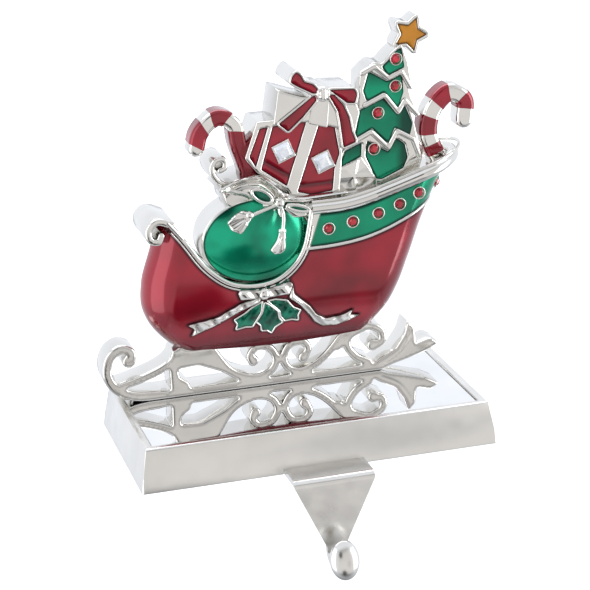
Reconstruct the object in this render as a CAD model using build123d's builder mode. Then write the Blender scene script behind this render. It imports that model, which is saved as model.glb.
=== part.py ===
"""Mantel stocking holder: a plated sleigh with enamel cells on a mirrored block, and a hook over the shelf."""

import os
from math import atan2, cos, degrees, radians, sin

from build123d import *

os.makedirs("parts", exist_ok=True)

# Frame: the origin is the middle of the block's underside, X to the right, Y to the back, Z up.
# The figure's outlines are drawn as seen from the front, as (x, z) points.

# Block
base_width = 152.0
base_depth = 79.0
base_height = 18.0
base_inset = 3.0
base_corner_radius = 1.2
rim_width = 3.6
rim_edge_radius = 0.5
mirror_thickness = 2.0
mirror_drop = 1.0
mirror_clearance = 0.15
pad_thickness = 1.0
pad_margin = 6.0
pad_clearance = 0.2

# Hook
strip_thickness = 2.4
strip_width = 34.0
strip_inside = 36.0
strip_reach = 13.5
strip_bend_radius = 1.8
tongue_drop = 33.0
tongue_foot_width = 8.0
foot_radius = 5.0
foot_turn = 125.0
foot_reach = 4.5
strip_clearance = 0.2
knob_width = 12.4
knob_height = 16.4
knob_thickness = 7.0
knob_tilt = 18.0

# Screws
hook_screw_spacing = 20.0
hook_screw_setback = 8.0
hook_screw_radius = 1.75
hook_screw_length = 10.0
countersink_radius = 3.4
countersink_height = 1.65
figure_screw_xs = (-46.5, 13.5)
figure_screw_radius = 1.5
figure_screw_grip = 5.0
figure_screw_seat = 7.0
figure_screw_head_radius = 2.75
figure_screw_head_height = 2.0
screw_clearance = 0.1

# Figure: middle plane and half thicknesses
figure_y = 22.0
runner_half = 6.5
runner_edge = 0.7
dash_half = 13.0
sack_half = 11.5
sack_round = 5.0
mouth_half = 10.0
tie_half = 13.0
tie_knot_radius = 2.4
cord_width = 1.7
dash_scroll_width = 2.9
seat_half = 9.0
seat_scroll_width = 2.3
gift_half = 9.5
lid_step = 0.7
bow_step = 1.8
tree_half = 6.5
zigzag_step = 0.9
zigzag_width = 2.3
parcel_half = 7.5
star_half = 5.0
cane_half = 5.0
cane_width = 7.0
cane_edge = 0.7
stripe_margin = 0.6
outline_edge = 0.5

hull_half = 12.5

# Enamel cells and stones
enamel_thickness = 0.6
cell_depth = 0.9
cell_margin = 0.9
trim_rise = 1.4
trim_width = 2.6
rail_rise = 2.2
rail_width = 5.2
band_line_width = 1.3
ribbon_rise = 1.7
leaf_rise = 1.5
leaf_line = 0.8
stone_radius = 1.8
bezel_wall = 0.7
bezel_rise = 1.2
bezel_root = 1.5
stone_taper = 35.0
stone_rise = 0.7
crystal_size = 6.4
crystal_wall = 0.8
crystal_turn = 22.0
crystal_rise = 1.2

# Worked out from the sizes above
base_draft = degrees(atan2(base_inset, base_height))
top_width = base_width - 2 * base_inset
top_depth = base_depth - 2 * base_inset
recess_width = top_width - 2 * rim_width
recess_depth = top_depth - 2 * rim_width
mirror_top = base_height - mirror_drop
mirror_bottom = mirror_top - mirror_thickness
base_front = -base_depth / 2
tongue_y = base_front - strip_reach
strip_back = base_front + strip_inside
hook_screw_y = strip_back - hook_screw_setback
hook_screw_points = [(-hook_screw_spacing / 2, hook_screw_y), (hook_screw_spacing / 2, hook_screw_y)]
figure_screw_points = [(x, figure_y) for x in figure_screw_xs]
far = 60.0


def front(depth):
    # Upright plane that far in front of the figure's middle plane
    return Plane.XZ.offset(depth - figure_y)


# Block with a raised rim, a seat for the mirror, a channel for the hook and a shallow seat for the pad
with BuildPart() as base_casting:
    with BuildSketch():
        RectangleRounded(base_width, base_depth, base_corner_radius)
    extrude(amount=base_height, taper=base_draft)
    with BuildSketch(Plane.XY.offset(base_height)):
        Rectangle(recess_width, recess_depth)
    extrude(amount=-mirror_drop - mirror_thickness, mode=Mode.SUBTRACT)
    chamfer(base_casting.edges().group_by(Axis.Z)[-1], length=rim_edge_radius)
    with BuildSketch():
        Rectangle(base_width - 2 * pad_margin, base_depth - 2 * pad_margin)
    extrude(amount=pad_thickness, mode=Mode.SUBTRACT)
    with BuildSketch():
        with Locations((0, (base_front - strip_reach + strip_back + strip_clearance) / 2)):
            Rectangle(strip_width + 2 * strip_clearance, strip_inside + strip_reach + strip_clearance)
    extrude(amount=strip_thickness, mode=Mode.SUBTRACT)
    with BuildSketch(Plane.XY.offset(strip_thickness)):
        with Locations(*hook_screw_points):
            Circle(hook_screw_radius + screw_clearance)
    extrude(amount=hook_screw_length, mode=Mode.SUBTRACT)
    with BuildSketch():
        with Locations(*figure_screw_points):
            Circle(figure_screw_head_radius + screw_clearance)
    extrude(amount=figure_screw_seat, mode=Mode.SUBTRACT)
    with BuildSketch():
        with Locations(*figure_screw_points):
            Circle(figure_screw_radius + screw_clearance)
    extrude(amount=base_height, mode=Mode.SUBTRACT)
base_casting.part.label = "base_casting"
export_step(base_casting.part, "parts/base_casting.step")

# Mirror let into the top of the block
with BuildPart() as mirror_plate:
    with BuildSketch(Plane.XY.offset(mirror_bottom)):
        Rectangle(recess_width - 2 * mirror_clearance, recess_depth - 2 * mirror_clearance)
        with Locations(*figure_screw_points):
            Circle(figure_screw_radius + screw_clearance, mode=Mode.SUBTRACT)
    extrude(amount=mirror_thickness)
mirror_plate.part.label = "mirror_plate"
export_step(mirror_plate.part, "parts/mirror_plate.step")

# Pad under the block, cut round the hook and the screws
with BuildPart() as base_pad:
    with BuildSketch():
        Rectangle(
            base_width - 2 * pad_margin - 2 * pad_clearance,
            base_depth - 2 * pad_margin - 2 * pad_clearance,
        )
        with Locations((0, (base_front + strip_back + strip_clearance) / 2)):
            Rectangle(
                strip_width + 2 * strip_clearance,
                strip_inside + strip_clearance + 2 * pad_clearance,
                mode=Mode.SUBTRACT,
            )
        with Locations(*figure_screw_points):
            Circle(figure_screw_head_radius + screw_clearance, mode=Mode.SUBTRACT)
    extrude(amount=pad_thickness)
base_pad.part.label = "base_pad"
export_step(base_pad.part, "parts/base_pad.step")

# Hook: a bent strip that tapers down to a forward foot with an oval knob
foot_start = -tongue_drop + foot_radius
foot_rise = radians(foot_turn - 90)
knob_y = tongue_y - foot_radius * (1 + sin(foot_rise)) - foot_reach * cos(foot_rise)
knob_z = foot_start - foot_radius * cos(foot_rise) + foot_reach * sin(foot_rise)
with BuildPart() as knob:
    Sphere(0.5)
    scale(by=(knob_width, knob_thickness, knob_height))
with BuildPart() as hook_bracket:
    with BuildSketch(Plane.YZ):
        with BuildLine():
            run = Line((strip_back, strip_thickness / 2), (tongue_y + strip_bend_radius, strip_thickness / 2))
            bend = JernArc(run @ 1, run % 1, strip_bend_radius, 90)
            drop = Line(bend @ 1, (tongue_y, foot_start))
            foot = JernArc(drop @ 1, drop % 1, foot_radius, -foot_turn)
            Line(foot @ 1, (knob_y, knob_z))
        trace(line_width=strip_thickness)
    extrude(amount=strip_width / 2, both=True)
    with BuildSketch(Plane.XZ):
        with BuildLine():
            Polyline(
                (-strip_width / 2, far),
                (-strip_width / 2, 0),
                (-tongue_foot_width / 2, foot_start),
                (-tongue_foot_width / 2, -far),
                (tongue_foot_width / 2, -far),
                (tongue_foot_width / 2, foot_start),
                (strip_width / 2, 0),
                (strip_width / 2, far),
                close=True,
            )
        make_face()
    extrude(amount=2 * far, both=True, mode=Mode.INTERSECT)
    add(knob.part.rotate(Axis.X, -knob_tilt).translate((0, knob_y, knob_z)))
    with Locations((hook_screw_points[0][0], hook_screw_y, 0), (hook_screw_points[1][0], hook_screw_y, 0)):
        Cone(countersink_radius, hook_screw_radius, countersink_height,
             align=(Align.CENTER, Align.CENTER, Align.MIN), mode=Mode.SUBTRACT)
        Cylinder(hook_screw_radius + screw_clearance, strip_thickness,
                 align=(Align.CENTER, Align.CENTER, Align.MIN), mode=Mode.SUBTRACT)
hook_bracket.part.label = "hook_bracket"
export_step(hook_bracket.part, "parts/hook_bracket.step")

# Screws that hold the hook strip up into the block, heads flush with the underside
with BuildPart() as hook_screws:
    with Locations(*hook_screw_points):
        Cone(countersink_radius, hook_screw_radius, countersink_height,
             align=(Align.CENTER, Align.CENTER, Align.MIN))
        Cylinder(hook_screw_radius, hook_screw_length, align=(Align.CENTER, Align.CENTER, Align.MIN))
hook_screws.part.label = "hook_screws"
export_step(hook_screws.part, "parts/hook_screws.step")

# Screws from under the block into the runner, heads sunk above the pad
figure_screw_top = mirror_top + figure_screw_grip
with BuildPart() as figure_screws:
    with BuildSketch(Plane.XY.offset(figure_screw_seat - figure_screw_head_height)):
        with Locations(*figure_screw_points):
            Circle(figure_screw_head_radius)
    extrude(amount=figure_screw_head_height)
    with BuildSketch(Plane.XY.offset(figure_screw_seat)):
        with Locations(*figure_screw_points):
            Circle(figure_screw_radius)
    extrude(amount=figure_screw_top - figure_screw_seat)
figure_screws.part.label = "figure_screws"
export_step(figure_screws.part, "parts/figure_screws.step")

# Runner: a ground rail, scrolls and struts drawn as strokes, a knee and a leaf drawn as filled shapes
rail_top = mirror_top + 3.6
runner_strokes = [
    ([(-55, 18.8), (-66, 20), (-73.5, 24), (-77.3, 30.5), (-76, 38), (-71, 41.8), (-66.3, 40), (-66.5, 35.5)], 3.6),
    ([(-73, 24.5), (-60, 28), (-51, 32), (-45, 38)], 3.2),
    ([(-31, 35), (-24, 26), (-17, 22.2), (-11, 21.5), (-5.5, 24), (-3.6, 29), (-6.5, 34), (-12, 35), (-15, 31.5),
      (-14, 28.5)], 2.6),
    ([(27, 36.5), (20, 28.5), (14, 23.8), (7.5, 21.6), (2, 23.5), (-0.2, 28.5), (2.5, 34), (8, 35), (10.8, 31.5),
      (8.2, 27)], 2.6),
    ([(38, 21.5), (32, 25), (28.3, 31), (31, 37), (37, 38.4), (43.5, 35.5), (44.2, 30.5), (39.5, 28.6)], 2.8),
]
knee = [(-49, 38.5), (-50.5, 30), (-47.5, 29.5), (-38, 30.2), (-28, 26), (-19.5, 20.5), (-24.5, 27.5), (-30.5, 38.5)]
post = [(-50.5, 31), (-50.3, 18.5), (-41.2, 18.5), (-41.8, 23), (-46, 26), (-46.5, 31)]
strut_pad = [(20, 29.5), (24.5, 28.5), (29.5, 33), (41, 38), (38, 40), (27, 39)]
leaf = [(38, 19), (43, 22.6), (50, 26), (54.2, 32), (56.2, 38.3), (59.4, 34.5), (60, 27.3), (66.5, 29.2),
        (70.7, 26.6), (65, 23.4), (55, 20.5), (45, 18)]
ground_rail = [(-66, rail_top), (-58, mirror_top), (44, mirror_top), (50, rail_top)]
runner_pieces = []
for path, width in runner_strokes:
    with BuildPart() as piece:
        with BuildSketch(front(-runner_half)):
            with BuildLine():
                Spline(*path)
            trace(line_width=width)
        extrude(amount=2 * runner_half)
        chamfer(piece.faces().sort_by(Axis.Y)[0].edges(), length=runner_edge)
    runner_pieces.append(piece.part)
for corners in (ground_rail, knee, post, strut_pad):
    with BuildPart() as piece:
        with BuildSketch(front(-runner_half)):
            Polygon(*corners, align=None)
        extrude(amount=2 * runner_half)
        chamfer(piece.faces().sort_by(Axis.Y)[0].edges(), length=runner_edge)
    runner_pieces.append(piece.part)
with BuildPart() as leaf_end:
    with BuildSketch(front(-runner_half)):
        with BuildLine():
            Spline(*leaf[:5])
            Spline(*leaf[4:7])
            Spline(*leaf[6:])
            Line(leaf[-1], leaf[0])
        make_face()
    extrude(amount=2 * runner_half)
with BuildPart() as runner:
    for piece in runner_pieces:
        add(piece)
    add(leaf_end.part)
    with Locations((0, figure_y, mirror_top)):
        Box(4 * far, 4 * runner_half, far, align=(Align.CENTER, Align.CENTER, Align.MAX), mode=Mode.SUBTRACT)
    with BuildSketch(Plane.XY.offset(mirror_top)):
        with Locations(*figure_screw_points):
            Circle(figure_screw_radius)
    extrude(amount=figure_screw_grip, mode=Mode.SUBTRACT)

# Hull forms: one loft of long rounded sections, grown outwards by each skin
hull_stations = (
    (37.5, -44.5, 38.0, 6.6),
    (41.0, -49.0, 41.5, 8.6),
    (47.0, -54.5, 47.0, 10.6),
    (56.0, -58.8, 52.3, 12.0),
    (68.0, -58.8, 57.3, hull_half),
    (84.0, -54.0, 63.2, hull_half),
    (100.0, -51.0, 70.5, hull_half),
    (119.0, -49.0, 81.0, hull_half),
)
hull_skins = {"core": 0.0, "enamel": enamel_thickness, "leaf": leaf_rise, "trim": trim_rise,
              "ribbon": ribbon_rise, "rail": rail_rise}
hull_forms = {}
for form, skin in hull_skins.items():
    with BuildPart() as hull_form:
        for height, left, right, half in hull_stations:
            with BuildSketch(Plane.XY.offset(height)):
                with Locations(((left + right) / 2, figure_y)):
                    SlotOverall(right - left + 2 * skin, 2 * (half + skin))
        loft()
    hull_forms[form] = hull_form.part

trim_path = [(-49.5, 96.3), (-42.7, 87.6), (-34.6, 76), (-24.5, 68), (-12.4, 65.6), (-1.4, 68.5), (7.7, 78),
             (11.9, 95.5)]
rail_path = [(11.9, 95.5), (26.4, 96), (38, 98.5), (47.5, 102.2), (56.5, 106), (65.6, 109.6), (84, 117)]
band_path = [(8.5, 78.6), (21.8, 78.9), (33.9, 80.4), (44, 83.2), (54, 87.4), (80, 99)]

# Sleigh body: the hull cut along its swept top edge
with BuildPart() as hull:
    add(hull_forms["core"])
    with BuildSketch(front(0)):
        with BuildLine():
            trim_edge = Spline(*trim_path)
            rail_edge = Spline(*rail_path)
            Polyline(rail_edge @ 1, (90, 130), (-70, 130), (-70, 96.3), trim_edge @ 0)
        make_face()
    extrude(amount=far, both=True, mode=Mode.SUBTRACT)

# Raised lines that follow the hull's surface
with BuildPart() as trim:
    with BuildSketch(front(-far)):
        with BuildLine():
            Spline(*trim_path)
        trace(line_width=trim_width)
    extrude(amount=2 * far)
    add(hull_forms["trim"], mode=Mode.INTERSECT)
with BuildPart() as rail:
    with BuildSketch(front(-far)):
        with BuildLine():
            Spline(*rail_path)
        trace(line_width=rail_width)
    extrude(amount=2 * far)
    add(hull_forms["rail"], mode=Mode.INTERSECT)
with BuildPart() as band_line:
    with BuildSketch(front(-far)):
        with BuildLine():
            Spline(*band_path)
        trace(line_width=band_line_width)
    extrude(amount=2 * far)
    add(hull_forms["trim"], mode=Mode.INTERSECT)


# Ribbon bow and holly leaves on the hull
ribbon = [
    [(-10.4, 63.6), (-20.5, 65), (-22, 63.6), (-20.8, 60.2), (-10.4, 60)],
    [(-10.4, 63.6), (1, 66), (2.4, 64.6), (0.6, 60.4), (-10.4, 60)],
    [(-12, 61), (-20.5, 59), (-31, 53.6), (-43.4, 51.4), (-40.4, 49), (-41.8, 45.6), (-31.5, 49.6), (-20.5, 55.4),
     (-12, 58.6)],
    [(2.2, 65), (2.7, 60.4), (9.7, 53.9), (12.8, 49.3), (16.8, 46.8), (23.8, 47.3), (29.2, 49.6), (28, 47),
     (32.6, 46.4), (27.9, 44.2), (21.8, 42.4), (15.8, 42.8), (12, 45.6), (9, 50), (5.2, 54.6), (0, 59)],
]
leaf_cells = [
    [(-10.9, 58.4), (-17.5, 56.9), (-23, 51.8), (-22, 46.5), (-16.5, 46.8), (-14, 48.6), (-11.4, 52.8)],
    [(-10.2, 57.9), (-11.4, 53.3), (-13.6, 49.1), (-10.9, 45.3), (-6.7, 42.8), (-3.4, 44.8), (-2.2, 47.8),
     (-3.9, 51.3), (-4.6, 53.9), (-8.4, 57.4)],
    [(-8.9, 58.4), (-4.4, 54.9), (-3.2, 50.8), (-1.4, 47.8), (4.7, 47.3), (5.7, 52.8), (1.7, 56.6), (-1.4, 58.5)],
]
with BuildPart() as hull_leaves:
    for corners in leaf_cells:
        with BuildSketch(front(0)):
            Polygon(*corners, align=None)
            offset(amount=leaf_line / 2)
        extrude(amount=far)
    for corners in leaf_cells:
        with BuildSketch(front(0)):
            Polygon(*corners, align=None)
            offset(amount=-leaf_line / 2)
        extrude(amount=far, mode=Mode.SUBTRACT)
    add(hull_forms["leaf"], mode=Mode.INTERSECT)
with BuildPart() as hull_ribbon:
    with BuildSketch(front(0)):
        for corners in ribbon:
            Polygon(*corners, align=None)
        with Locations((-10.4, 61.8)):
            Circle(2.6)
    extrude(amount=far)
    add(hull_forms["ribbon"], mode=Mode.INTERSECT)

# Scroll at the front of the sleigh
dash_scroll = [(-47.5, 95), (-53.5, 97), (-57.3, 94), (-56.8, 89.6), (-53.6, 88.4), (-52.2, 91)]
with BuildPart() as dash:
    with BuildSketch(front(-dash_half)):
        with BuildLine():
            Spline(*dash_scroll)
        trace(line_width=dash_scroll_width)
    extrude(amount=2 * dash_half)

# Small scroll of the seat's back, seen past the sack's mouth
seat_scroll = [
    (-21.5, 107.5), (-26.5, 110.5), (-29, 115.5), (-27, 119.3), (-23.6, 119.2), (-23.5, 115.9), (-25.6, 114.8),
]
with BuildPart() as seat_back:
    with BuildSketch(front(-seat_half)):
        with BuildLine():
            Spline(*seat_scroll)
        trace(line_width=seat_scroll_width)
    extrude(amount=2 * seat_half)

# Sack, its gathered mouth and the tie
sack_center = (-12.2, 84.3)
sack_radii = (22.2, 17.2)
mouth = [(-29, 98), (-26.3, 107.3), (-18.2, 110), (-10.2, 111.4), (-3.5, 109.3), (2.5, 104.4), (12, 100.6),
         (29.5, 100.3), (20, 92), (-10, 92)]
tie_loops = [((-9.2, 103.4), 5.4, 2.7, -33), ((6.2, 96.6), 5.6, 1.7, -16)]
tie_knot = (-1.6, 99.4)
cords = [[tie_knot, (-8, 97.4), (-14.5, 95.2)], [tie_knot, (-0.2, 94), (-0.9, 87.5)]]
tassels = [
    [(-14, 97), (-17, 96.6), (-24.4, 92.8), (-18.4, 88.2), (-14.4, 93.4)],
    [(-2.7, 88.2), (0.8, 88.2), (0.6, 84.6), (-0.8, 77.8), (-7, 80.4), (-3.2, 85)],
]
with BuildPart() as sack:
    with BuildSketch(front(-sack_half)):
        with Locations(sack_center):
            Ellipse(*sack_radii)
    extrude(amount=2 * sack_half)
    fillet(sack.edges().filter_by(Plane.XZ), radius=sack_round)
with BuildPart() as sack_mouth:
    with BuildSketch(front(-mouth_half)):
        with BuildLine():
            Spline(*mouth[:8])
            Polyline(*mouth[7:], mouth[0])
        make_face()
    extrude(amount=2 * mouth_half)
    chamfer(sack_mouth.faces().sort_by(Axis.Y)[0].edges(), length=outline_edge)
with BuildPart() as sack_tie:
    with BuildSketch(front(mouth_half)):
        for place, long_radius, short_radius, turn in tie_loops:
            with Locations(place):
                Ellipse(long_radius, short_radius, rotation=turn)
        with Locations(tie_knot):
            Circle(tie_knot_radius)
        for path in cords:
            with BuildLine():
                Spline(*path)
            trace(line_width=cord_width)
        for corners in tassels:
            Polygon(*corners, align=None)
    extrude(amount=tie_half - mouth_half)
    with BuildSketch(front(tie_half)):
        for place, long_radius, short_radius, turn in tie_loops:
            with Locations(place):
                Ellipse(long_radius - cell_margin, short_radius - cell_margin, rotation=turn)
    extrude(amount=-cell_depth, mode=Mode.SUBTRACT)

# Flat pieces with enamel cells: each block is its cells grown by the silver margin, with the cells sunk into it
star_center = (59.0, 164.2)
star_tip_radius = 7.3
star_valley_radius = 3.9
star_turn = 67.0
star_cell = []
for point in range(10):
    reach = star_tip_radius if point % 2 == 0 else star_valley_radius
    angle = radians(star_turn + 36 * point)
    star_cell.append((star_center[0] + reach * cos(angle), star_center[1] + reach * sin(angle)))
tree_cells = [
    [(46, 151.5), (49, 154), (52.5, 158), (54.5, 158.5), (55.5, 150.5), (53.5, 150), (48.4, 148)],
    [(40, 150), (37.5, 142), (39, 137.8), (46.5, 141), (52.5, 133.6), (55, 140), (54.5, 147.5), (48, 145)],
    [(36, 134), (33.5, 122.5), (41, 126), (48, 119), (51, 125.4), (54, 128.5), (50, 131), (46, 138)],
    [(29, 117), (26.5, 110.5), (36, 114.5), (36.5, 120)],
    [(37.5, 121), (37.5, 114.5), (42, 104), (45, 103.5), (52, 107), (53.5, 116), (51, 119), (48, 115)],
]
zigzags = [
    [(37, 149.5), (42.5, 152), (48.5, 146.5), (54, 149), (58, 142)],
    [(38, 136), (46.5, 139.6), (52.5, 131.8), (55.5, 136.5), (61, 130)],
    [(31, 120), (40.5, 124.4), (48, 116.8), (52, 123.6), (59, 119.5), (62, 111.5)],
]
zigzag_bands = []
for path in zigzags:
    upper = [(x, z + zigzag_width / 2) for x, z in path]
    lower = [(x, z - zigzag_width / 2) for x, z in reversed(path)]
    zigzag_bands.append(upper + lower)
tree_outline = [
    (54.5, 160.5), (57.6, 152), (59.4, 141.4), (57, 144), (58.5, 138), (62.2, 129), (58.6, 131.5), (60.4, 124),
    (63.2, 110.4), (60, 100), (42, 100), (39, 104), (36, 111), (25.6, 109.6), (28.5, 118), (29.6, 118.6),
    (32.8, 124), (35.6, 135), (36.2, 149), (42, 153.7), (46, 152.8), (50, 157),
]
gift_cells = [
    [(-2.7, 131.5), (-8.2, 113.7), (2.6, 105.6), (11.7, 132.2)],
    [(17.2, 130.7), (23.9, 128.7), (25.7, 117.2), (23.4, 111.1), (22.4, 101.6), (12.9, 100.8), (7.1, 102.6)],
    [(-8.2, 131), (-13, 119.5), (-10.4, 115), (-4.7, 131.5)],
]
gift_block = [(-9.4, 134), (-15, 119), (-10, 112.5), (3, 103.6), (6, 96), (25, 97), (27, 117), (25, 130), (12, 134)]
lid_block = [(-2.6, 132), (-0.2, 146.6), (9.9, 143), (25, 140.4), (33.5, 138), (34.8, 134), (31.8, 123.4),
             (27, 121.5), (25, 128.2), (12.9, 132.2)]
bow_cells = [
    [(4.9, 149.6), (7.7, 153.4), (13.9, 148.3), (16.7, 146), (16.6, 144.4), (12.9, 146.3), (7.9, 147.3)],
    [(21.4, 145), (32.3, 144.3), (33.4, 141.8), (32.4, 138.4), (28.9, 138.8), (25.9, 141.3)],
    [(14.9, 143.4), (16, 141.3), (9.9, 134.7), (3.4, 129.1), (1.6, 130.7), (-0.6, 132.6)],
    [(21.2, 142.6), (23.4, 142.9), (27.4, 138), (29.9, 132.2), (31, 126.2), (32.6, 121.9), (27, 120), (25.7, 131.2),
     (24.9, 135.7)],
]
parcel_block = [(24.5, 104), (26, 110.5), (36, 114.6), (42.5, 104), (43, 98), (26, 97)]
cane_paths = [
    [(-35.2, 123.2), (-33, 132), (-26, 137.6), (-18.8, 134), (-16.6, 124), (-12, 110.5)],
    [(68.5, 109), (65.4, 119.5), (68.2, 130), (76, 136.8), (83, 133), (83, 124.7)],
]
cane_stripes = [
    [(0.07, 0.18), (0.29, 0.41), (0.53, 0.98)],
    [(0.07, 0.16), (0.25, 0.4), (0.52, 0.66), (0.79, 0.9)],
]
with BuildPart() as star:
    with BuildSketch(front(-star_half)):
        Polygon(*star_cell, align=None)
        offset(amount=cell_margin)
    extrude(amount=2 * star_half)
    chamfer(star.faces().sort_by(Axis.Y)[0].edges(), length=outline_edge)
    with BuildSketch(front(star_half)):
        Polygon(*star_cell, align=None)
    extrude(amount=-cell_depth, mode=Mode.SUBTRACT)
with BuildPart() as tree:
    with BuildSketch(front(-tree_half)):
        Polygon(*tree_outline, align=None)
    extrude(amount=2 * tree_half)
    with BuildSketch(front(tree_half)):
        for corners in tree_cells:
            Polygon(*corners, align=None)
    extrude(amount=-cell_depth, mode=Mode.SUBTRACT)
    with BuildSketch(front(tree_half - cell_depth)):
        for corners in zigzag_bands:
            Polygon(*corners, align=None)
    extrude(amount=cell_depth + zigzag_step)
with BuildPart() as gift:
    with BuildSketch(front(-gift_half)):
        Polygon(*gift_block, align=None)
        Polygon(*lid_block, align=None)
    extrude(amount=2 * gift_half)
    with BuildSketch(front(gift_half)):
        for corners in gift_cells:
            Polygon(*corners, align=None)
    extrude(amount=-cell_depth, mode=Mode.SUBTRACT)
    with BuildSketch(front(gift_half - cell_depth)):
        Polygon(*lid_block, align=None)
    extrude(amount=cell_depth + lid_step)
with BuildPart() as bow:
    with BuildSketch(front(-gift_half)):
        for corners in bow_cells:
            Polygon(*corners, align=None)
        offset(amount=cell_margin)
        with Locations((18.6, 143.4)):
            Circle(3.2)
    extrude(amount=2 * gift_half + bow_step)
    with BuildSketch(front(gift_half + bow_step)):
        for corners in bow_cells:
            Polygon(*corners, align=None)
    extrude(amount=-cell_depth, mode=Mode.SUBTRACT)
with BuildPart() as parcel:
    with BuildSketch(front(-parcel_half)):
        Polygon(*parcel_block, align=None)
    extrude(amount=2 * parcel_half)
    chamfer(parcel.faces().sort_by(Axis.Y)[0].edges(), length=outline_edge)
canes = []
for path, stripes in zip(cane_paths, cane_stripes):
    with BuildLine() as cane_line:
        Spline(*path)
    with BuildPart() as cane:
        with BuildSketch(front(-cane_half)):
            trace(cane_line.edge(), line_width=cane_width)
        extrude(amount=2 * cane_half)
        chamfer(cane.faces().sort_by(Axis.Y)[0].edges(), length=cane_edge)
        with BuildSketch(front(cane_half)):
            for start, end in stripes:
                trace(cane_line.edge().trim(start, end), line_width=cane_width - 2 * cane_edge - stripe_margin)
        extrude(amount=-cell_depth, mode=Mode.SUBTRACT)
    canes.append(cane.part)

# Round stones in raised bezels: five along the band, one round its end, four on the tree
band_stone_points = [(19, 86.4), (29.6, 88.3), (41, 90.7), (50.5, 93.6), (59.2, 97.6)]
band_end_stone = (69.6, 99.2)
band_end_angle = radians(72)
band_end_lean = radians(22)
tree_stone_points = [(51.7, 154.4), (51.3, 143), (43.5, 132.3), (41.5, 117)]
stone_seats = {
    "band": [Plane((x, figure_y - hull_half, z), x_dir=(1, 0, 0), z_dir=(0, -1, 0)) for x, z in band_stone_points],
    "tree": [Plane((x, figure_y - tree_half, z), x_dir=(1, 0, 0), z_dir=(0, -1, 0)) for x, z in tree_stone_points],
}
stone_seats["band"].append(
    Plane(
        (band_end_stone[0], figure_y - hull_half * cos(band_end_angle), band_end_stone[1]),
        x_dir=(cos(band_end_angle), sin(band_end_angle), 0),
        z_dir=(
            sin(band_end_angle) * cos(band_end_lean),
            -cos(band_end_angle) * cos(band_end_lean),
            -sin(band_end_lean),
        ),
    )
)
bezels = {}
stones = {}
for group, seats in stone_seats.items():
    with BuildPart() as bezel:
        for seat in seats:
            with BuildSketch(seat.offset(-bezel_root)):
                Circle(stone_radius + bezel_wall)
            extrude(amount=bezel_root + bezel_rise)
            with BuildSketch(seat):
                Circle(stone_radius)
            extrude(amount=bezel_rise, mode=Mode.SUBTRACT)
    with BuildPart() as stone:
        for seat in seats:
            with BuildSketch(seat):
                Circle(stone_radius)
            extrude(amount=bezel_rise)
            with BuildSketch(seat.offset(bezel_rise)):
                Circle(stone_radius)
            extrude(amount=stone_rise, taper=stone_taper)
    bezels[group] = bezel.part
    stones[group] = stone.part

# Square crystals on the gift
crystal_points = [(1.3, 120.8), (18.2, 114.6)]
with BuildPart() as crystal_bezels:
    with BuildSketch(front(gift_half - bezel_root)):
        with Locations(*crystal_points):
            Rectangle(crystal_size + 2 * crystal_wall, crystal_size + 2 * crystal_wall, rotation=crystal_turn)
    extrude(amount=bezel_root + bezel_rise)
    with BuildSketch(front(gift_half)):
        with Locations(*crystal_points):
            Rectangle(crystal_size, crystal_size, rotation=crystal_turn)
    extrude(amount=bezel_rise, mode=Mode.SUBTRACT)
with BuildPart() as gift_crystals:
    with BuildSketch(front(gift_half)):
        with Locations(*crystal_points):
            Rectangle(crystal_size, crystal_size, rotation=crystal_turn)
    extrude(amount=bezel_rise)
    with BuildSketch(front(gift_half + bezel_rise)):
        with Locations(*crystal_points):
            Rectangle(crystal_size, crystal_size, rotation=crystal_turn)
    extrude(amount=crystal_rise, taper=stone_taper)
gift_crystals.part.label = "gift_crystals"
export_step(gift_crystals.part, "parts/gift_crystals.step")
for group, name in (("band", "band_stones"), ("tree", "tree_stones")):
    stones[group].label = name
    export_step(stones[group], f"parts/{name}.step")

# The sleigh and its load are one plated casting
with BuildPart() as figure_casting:
    bodies = (runner, hull, trim, rail, band_line, hull_leaves, hull_ribbon, dash, seat_back, sack, sack_mouth,
              sack_tie, tree, star, parcel, gift, bow, crystal_bezels)
    add([body.part for body in bodies] + canes + list(bezels.values()))
    add(list(stones.values()), mode=Mode.SUBTRACT)
figure_casting.part.label = "figure_casting"
export_step(figure_casting.part, "parts/figure_casting.step")

# Enamel on the hull, as a skin that stops at the raised lines; its upper edge runs under the trim
skin_edge = [(-50, 96), (-43.4, 87.2), (-35.1, 75.5), (-24.7, 67.4), (-12.4, 65), (-1.1, 67.9), (7.8, 76.8)]
with BuildPart() as body_red_enamel:
    with BuildSketch(front(0)):
        with BuildLine():
            Spline(*skin_edge)
            Line(skin_edge[-1], band_path[0])
            Spline(*band_path)
            Polyline(band_path[-1], (90, 30), (-70, 30), (-70, 96), skin_edge[0])
        make_face()
        for corners in leaf_cells:
            Polygon(*corners, align=None, mode=Mode.SUBTRACT)
    extrude(amount=far)
    add(hull_forms["enamel"], mode=Mode.INTERSECT)
    bodies = (hull, runner, trim, rail, band_line, hull_leaves, hull_ribbon, dash)
    add([body.part for body in bodies], mode=Mode.SUBTRACT)
body_red_enamel.part.label = "body_red_enamel"
export_step(body_red_enamel.part, "parts/body_red_enamel.step")
with BuildPart() as band_green_enamel:
    with BuildSketch(front(0)):
        with BuildLine():
            Spline(*band_path)
            Line(band_path[-1], rail_path[-1])
            Spline(*rail_path)
            Line(rail_path[0], band_path[0])
        make_face()
    extrude(amount=far)
    add(hull_forms["enamel"], mode=Mode.INTERSECT)
    add([body.part for body in (hull, trim, rail, band_line)], mode=Mode.SUBTRACT)
    add([bezels["band"], stones["band"]], mode=Mode.SUBTRACT)
band_green_enamel.part.label = "band_green_enamel"
export_step(band_green_enamel.part, "parts/band_green_enamel.step")
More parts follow.
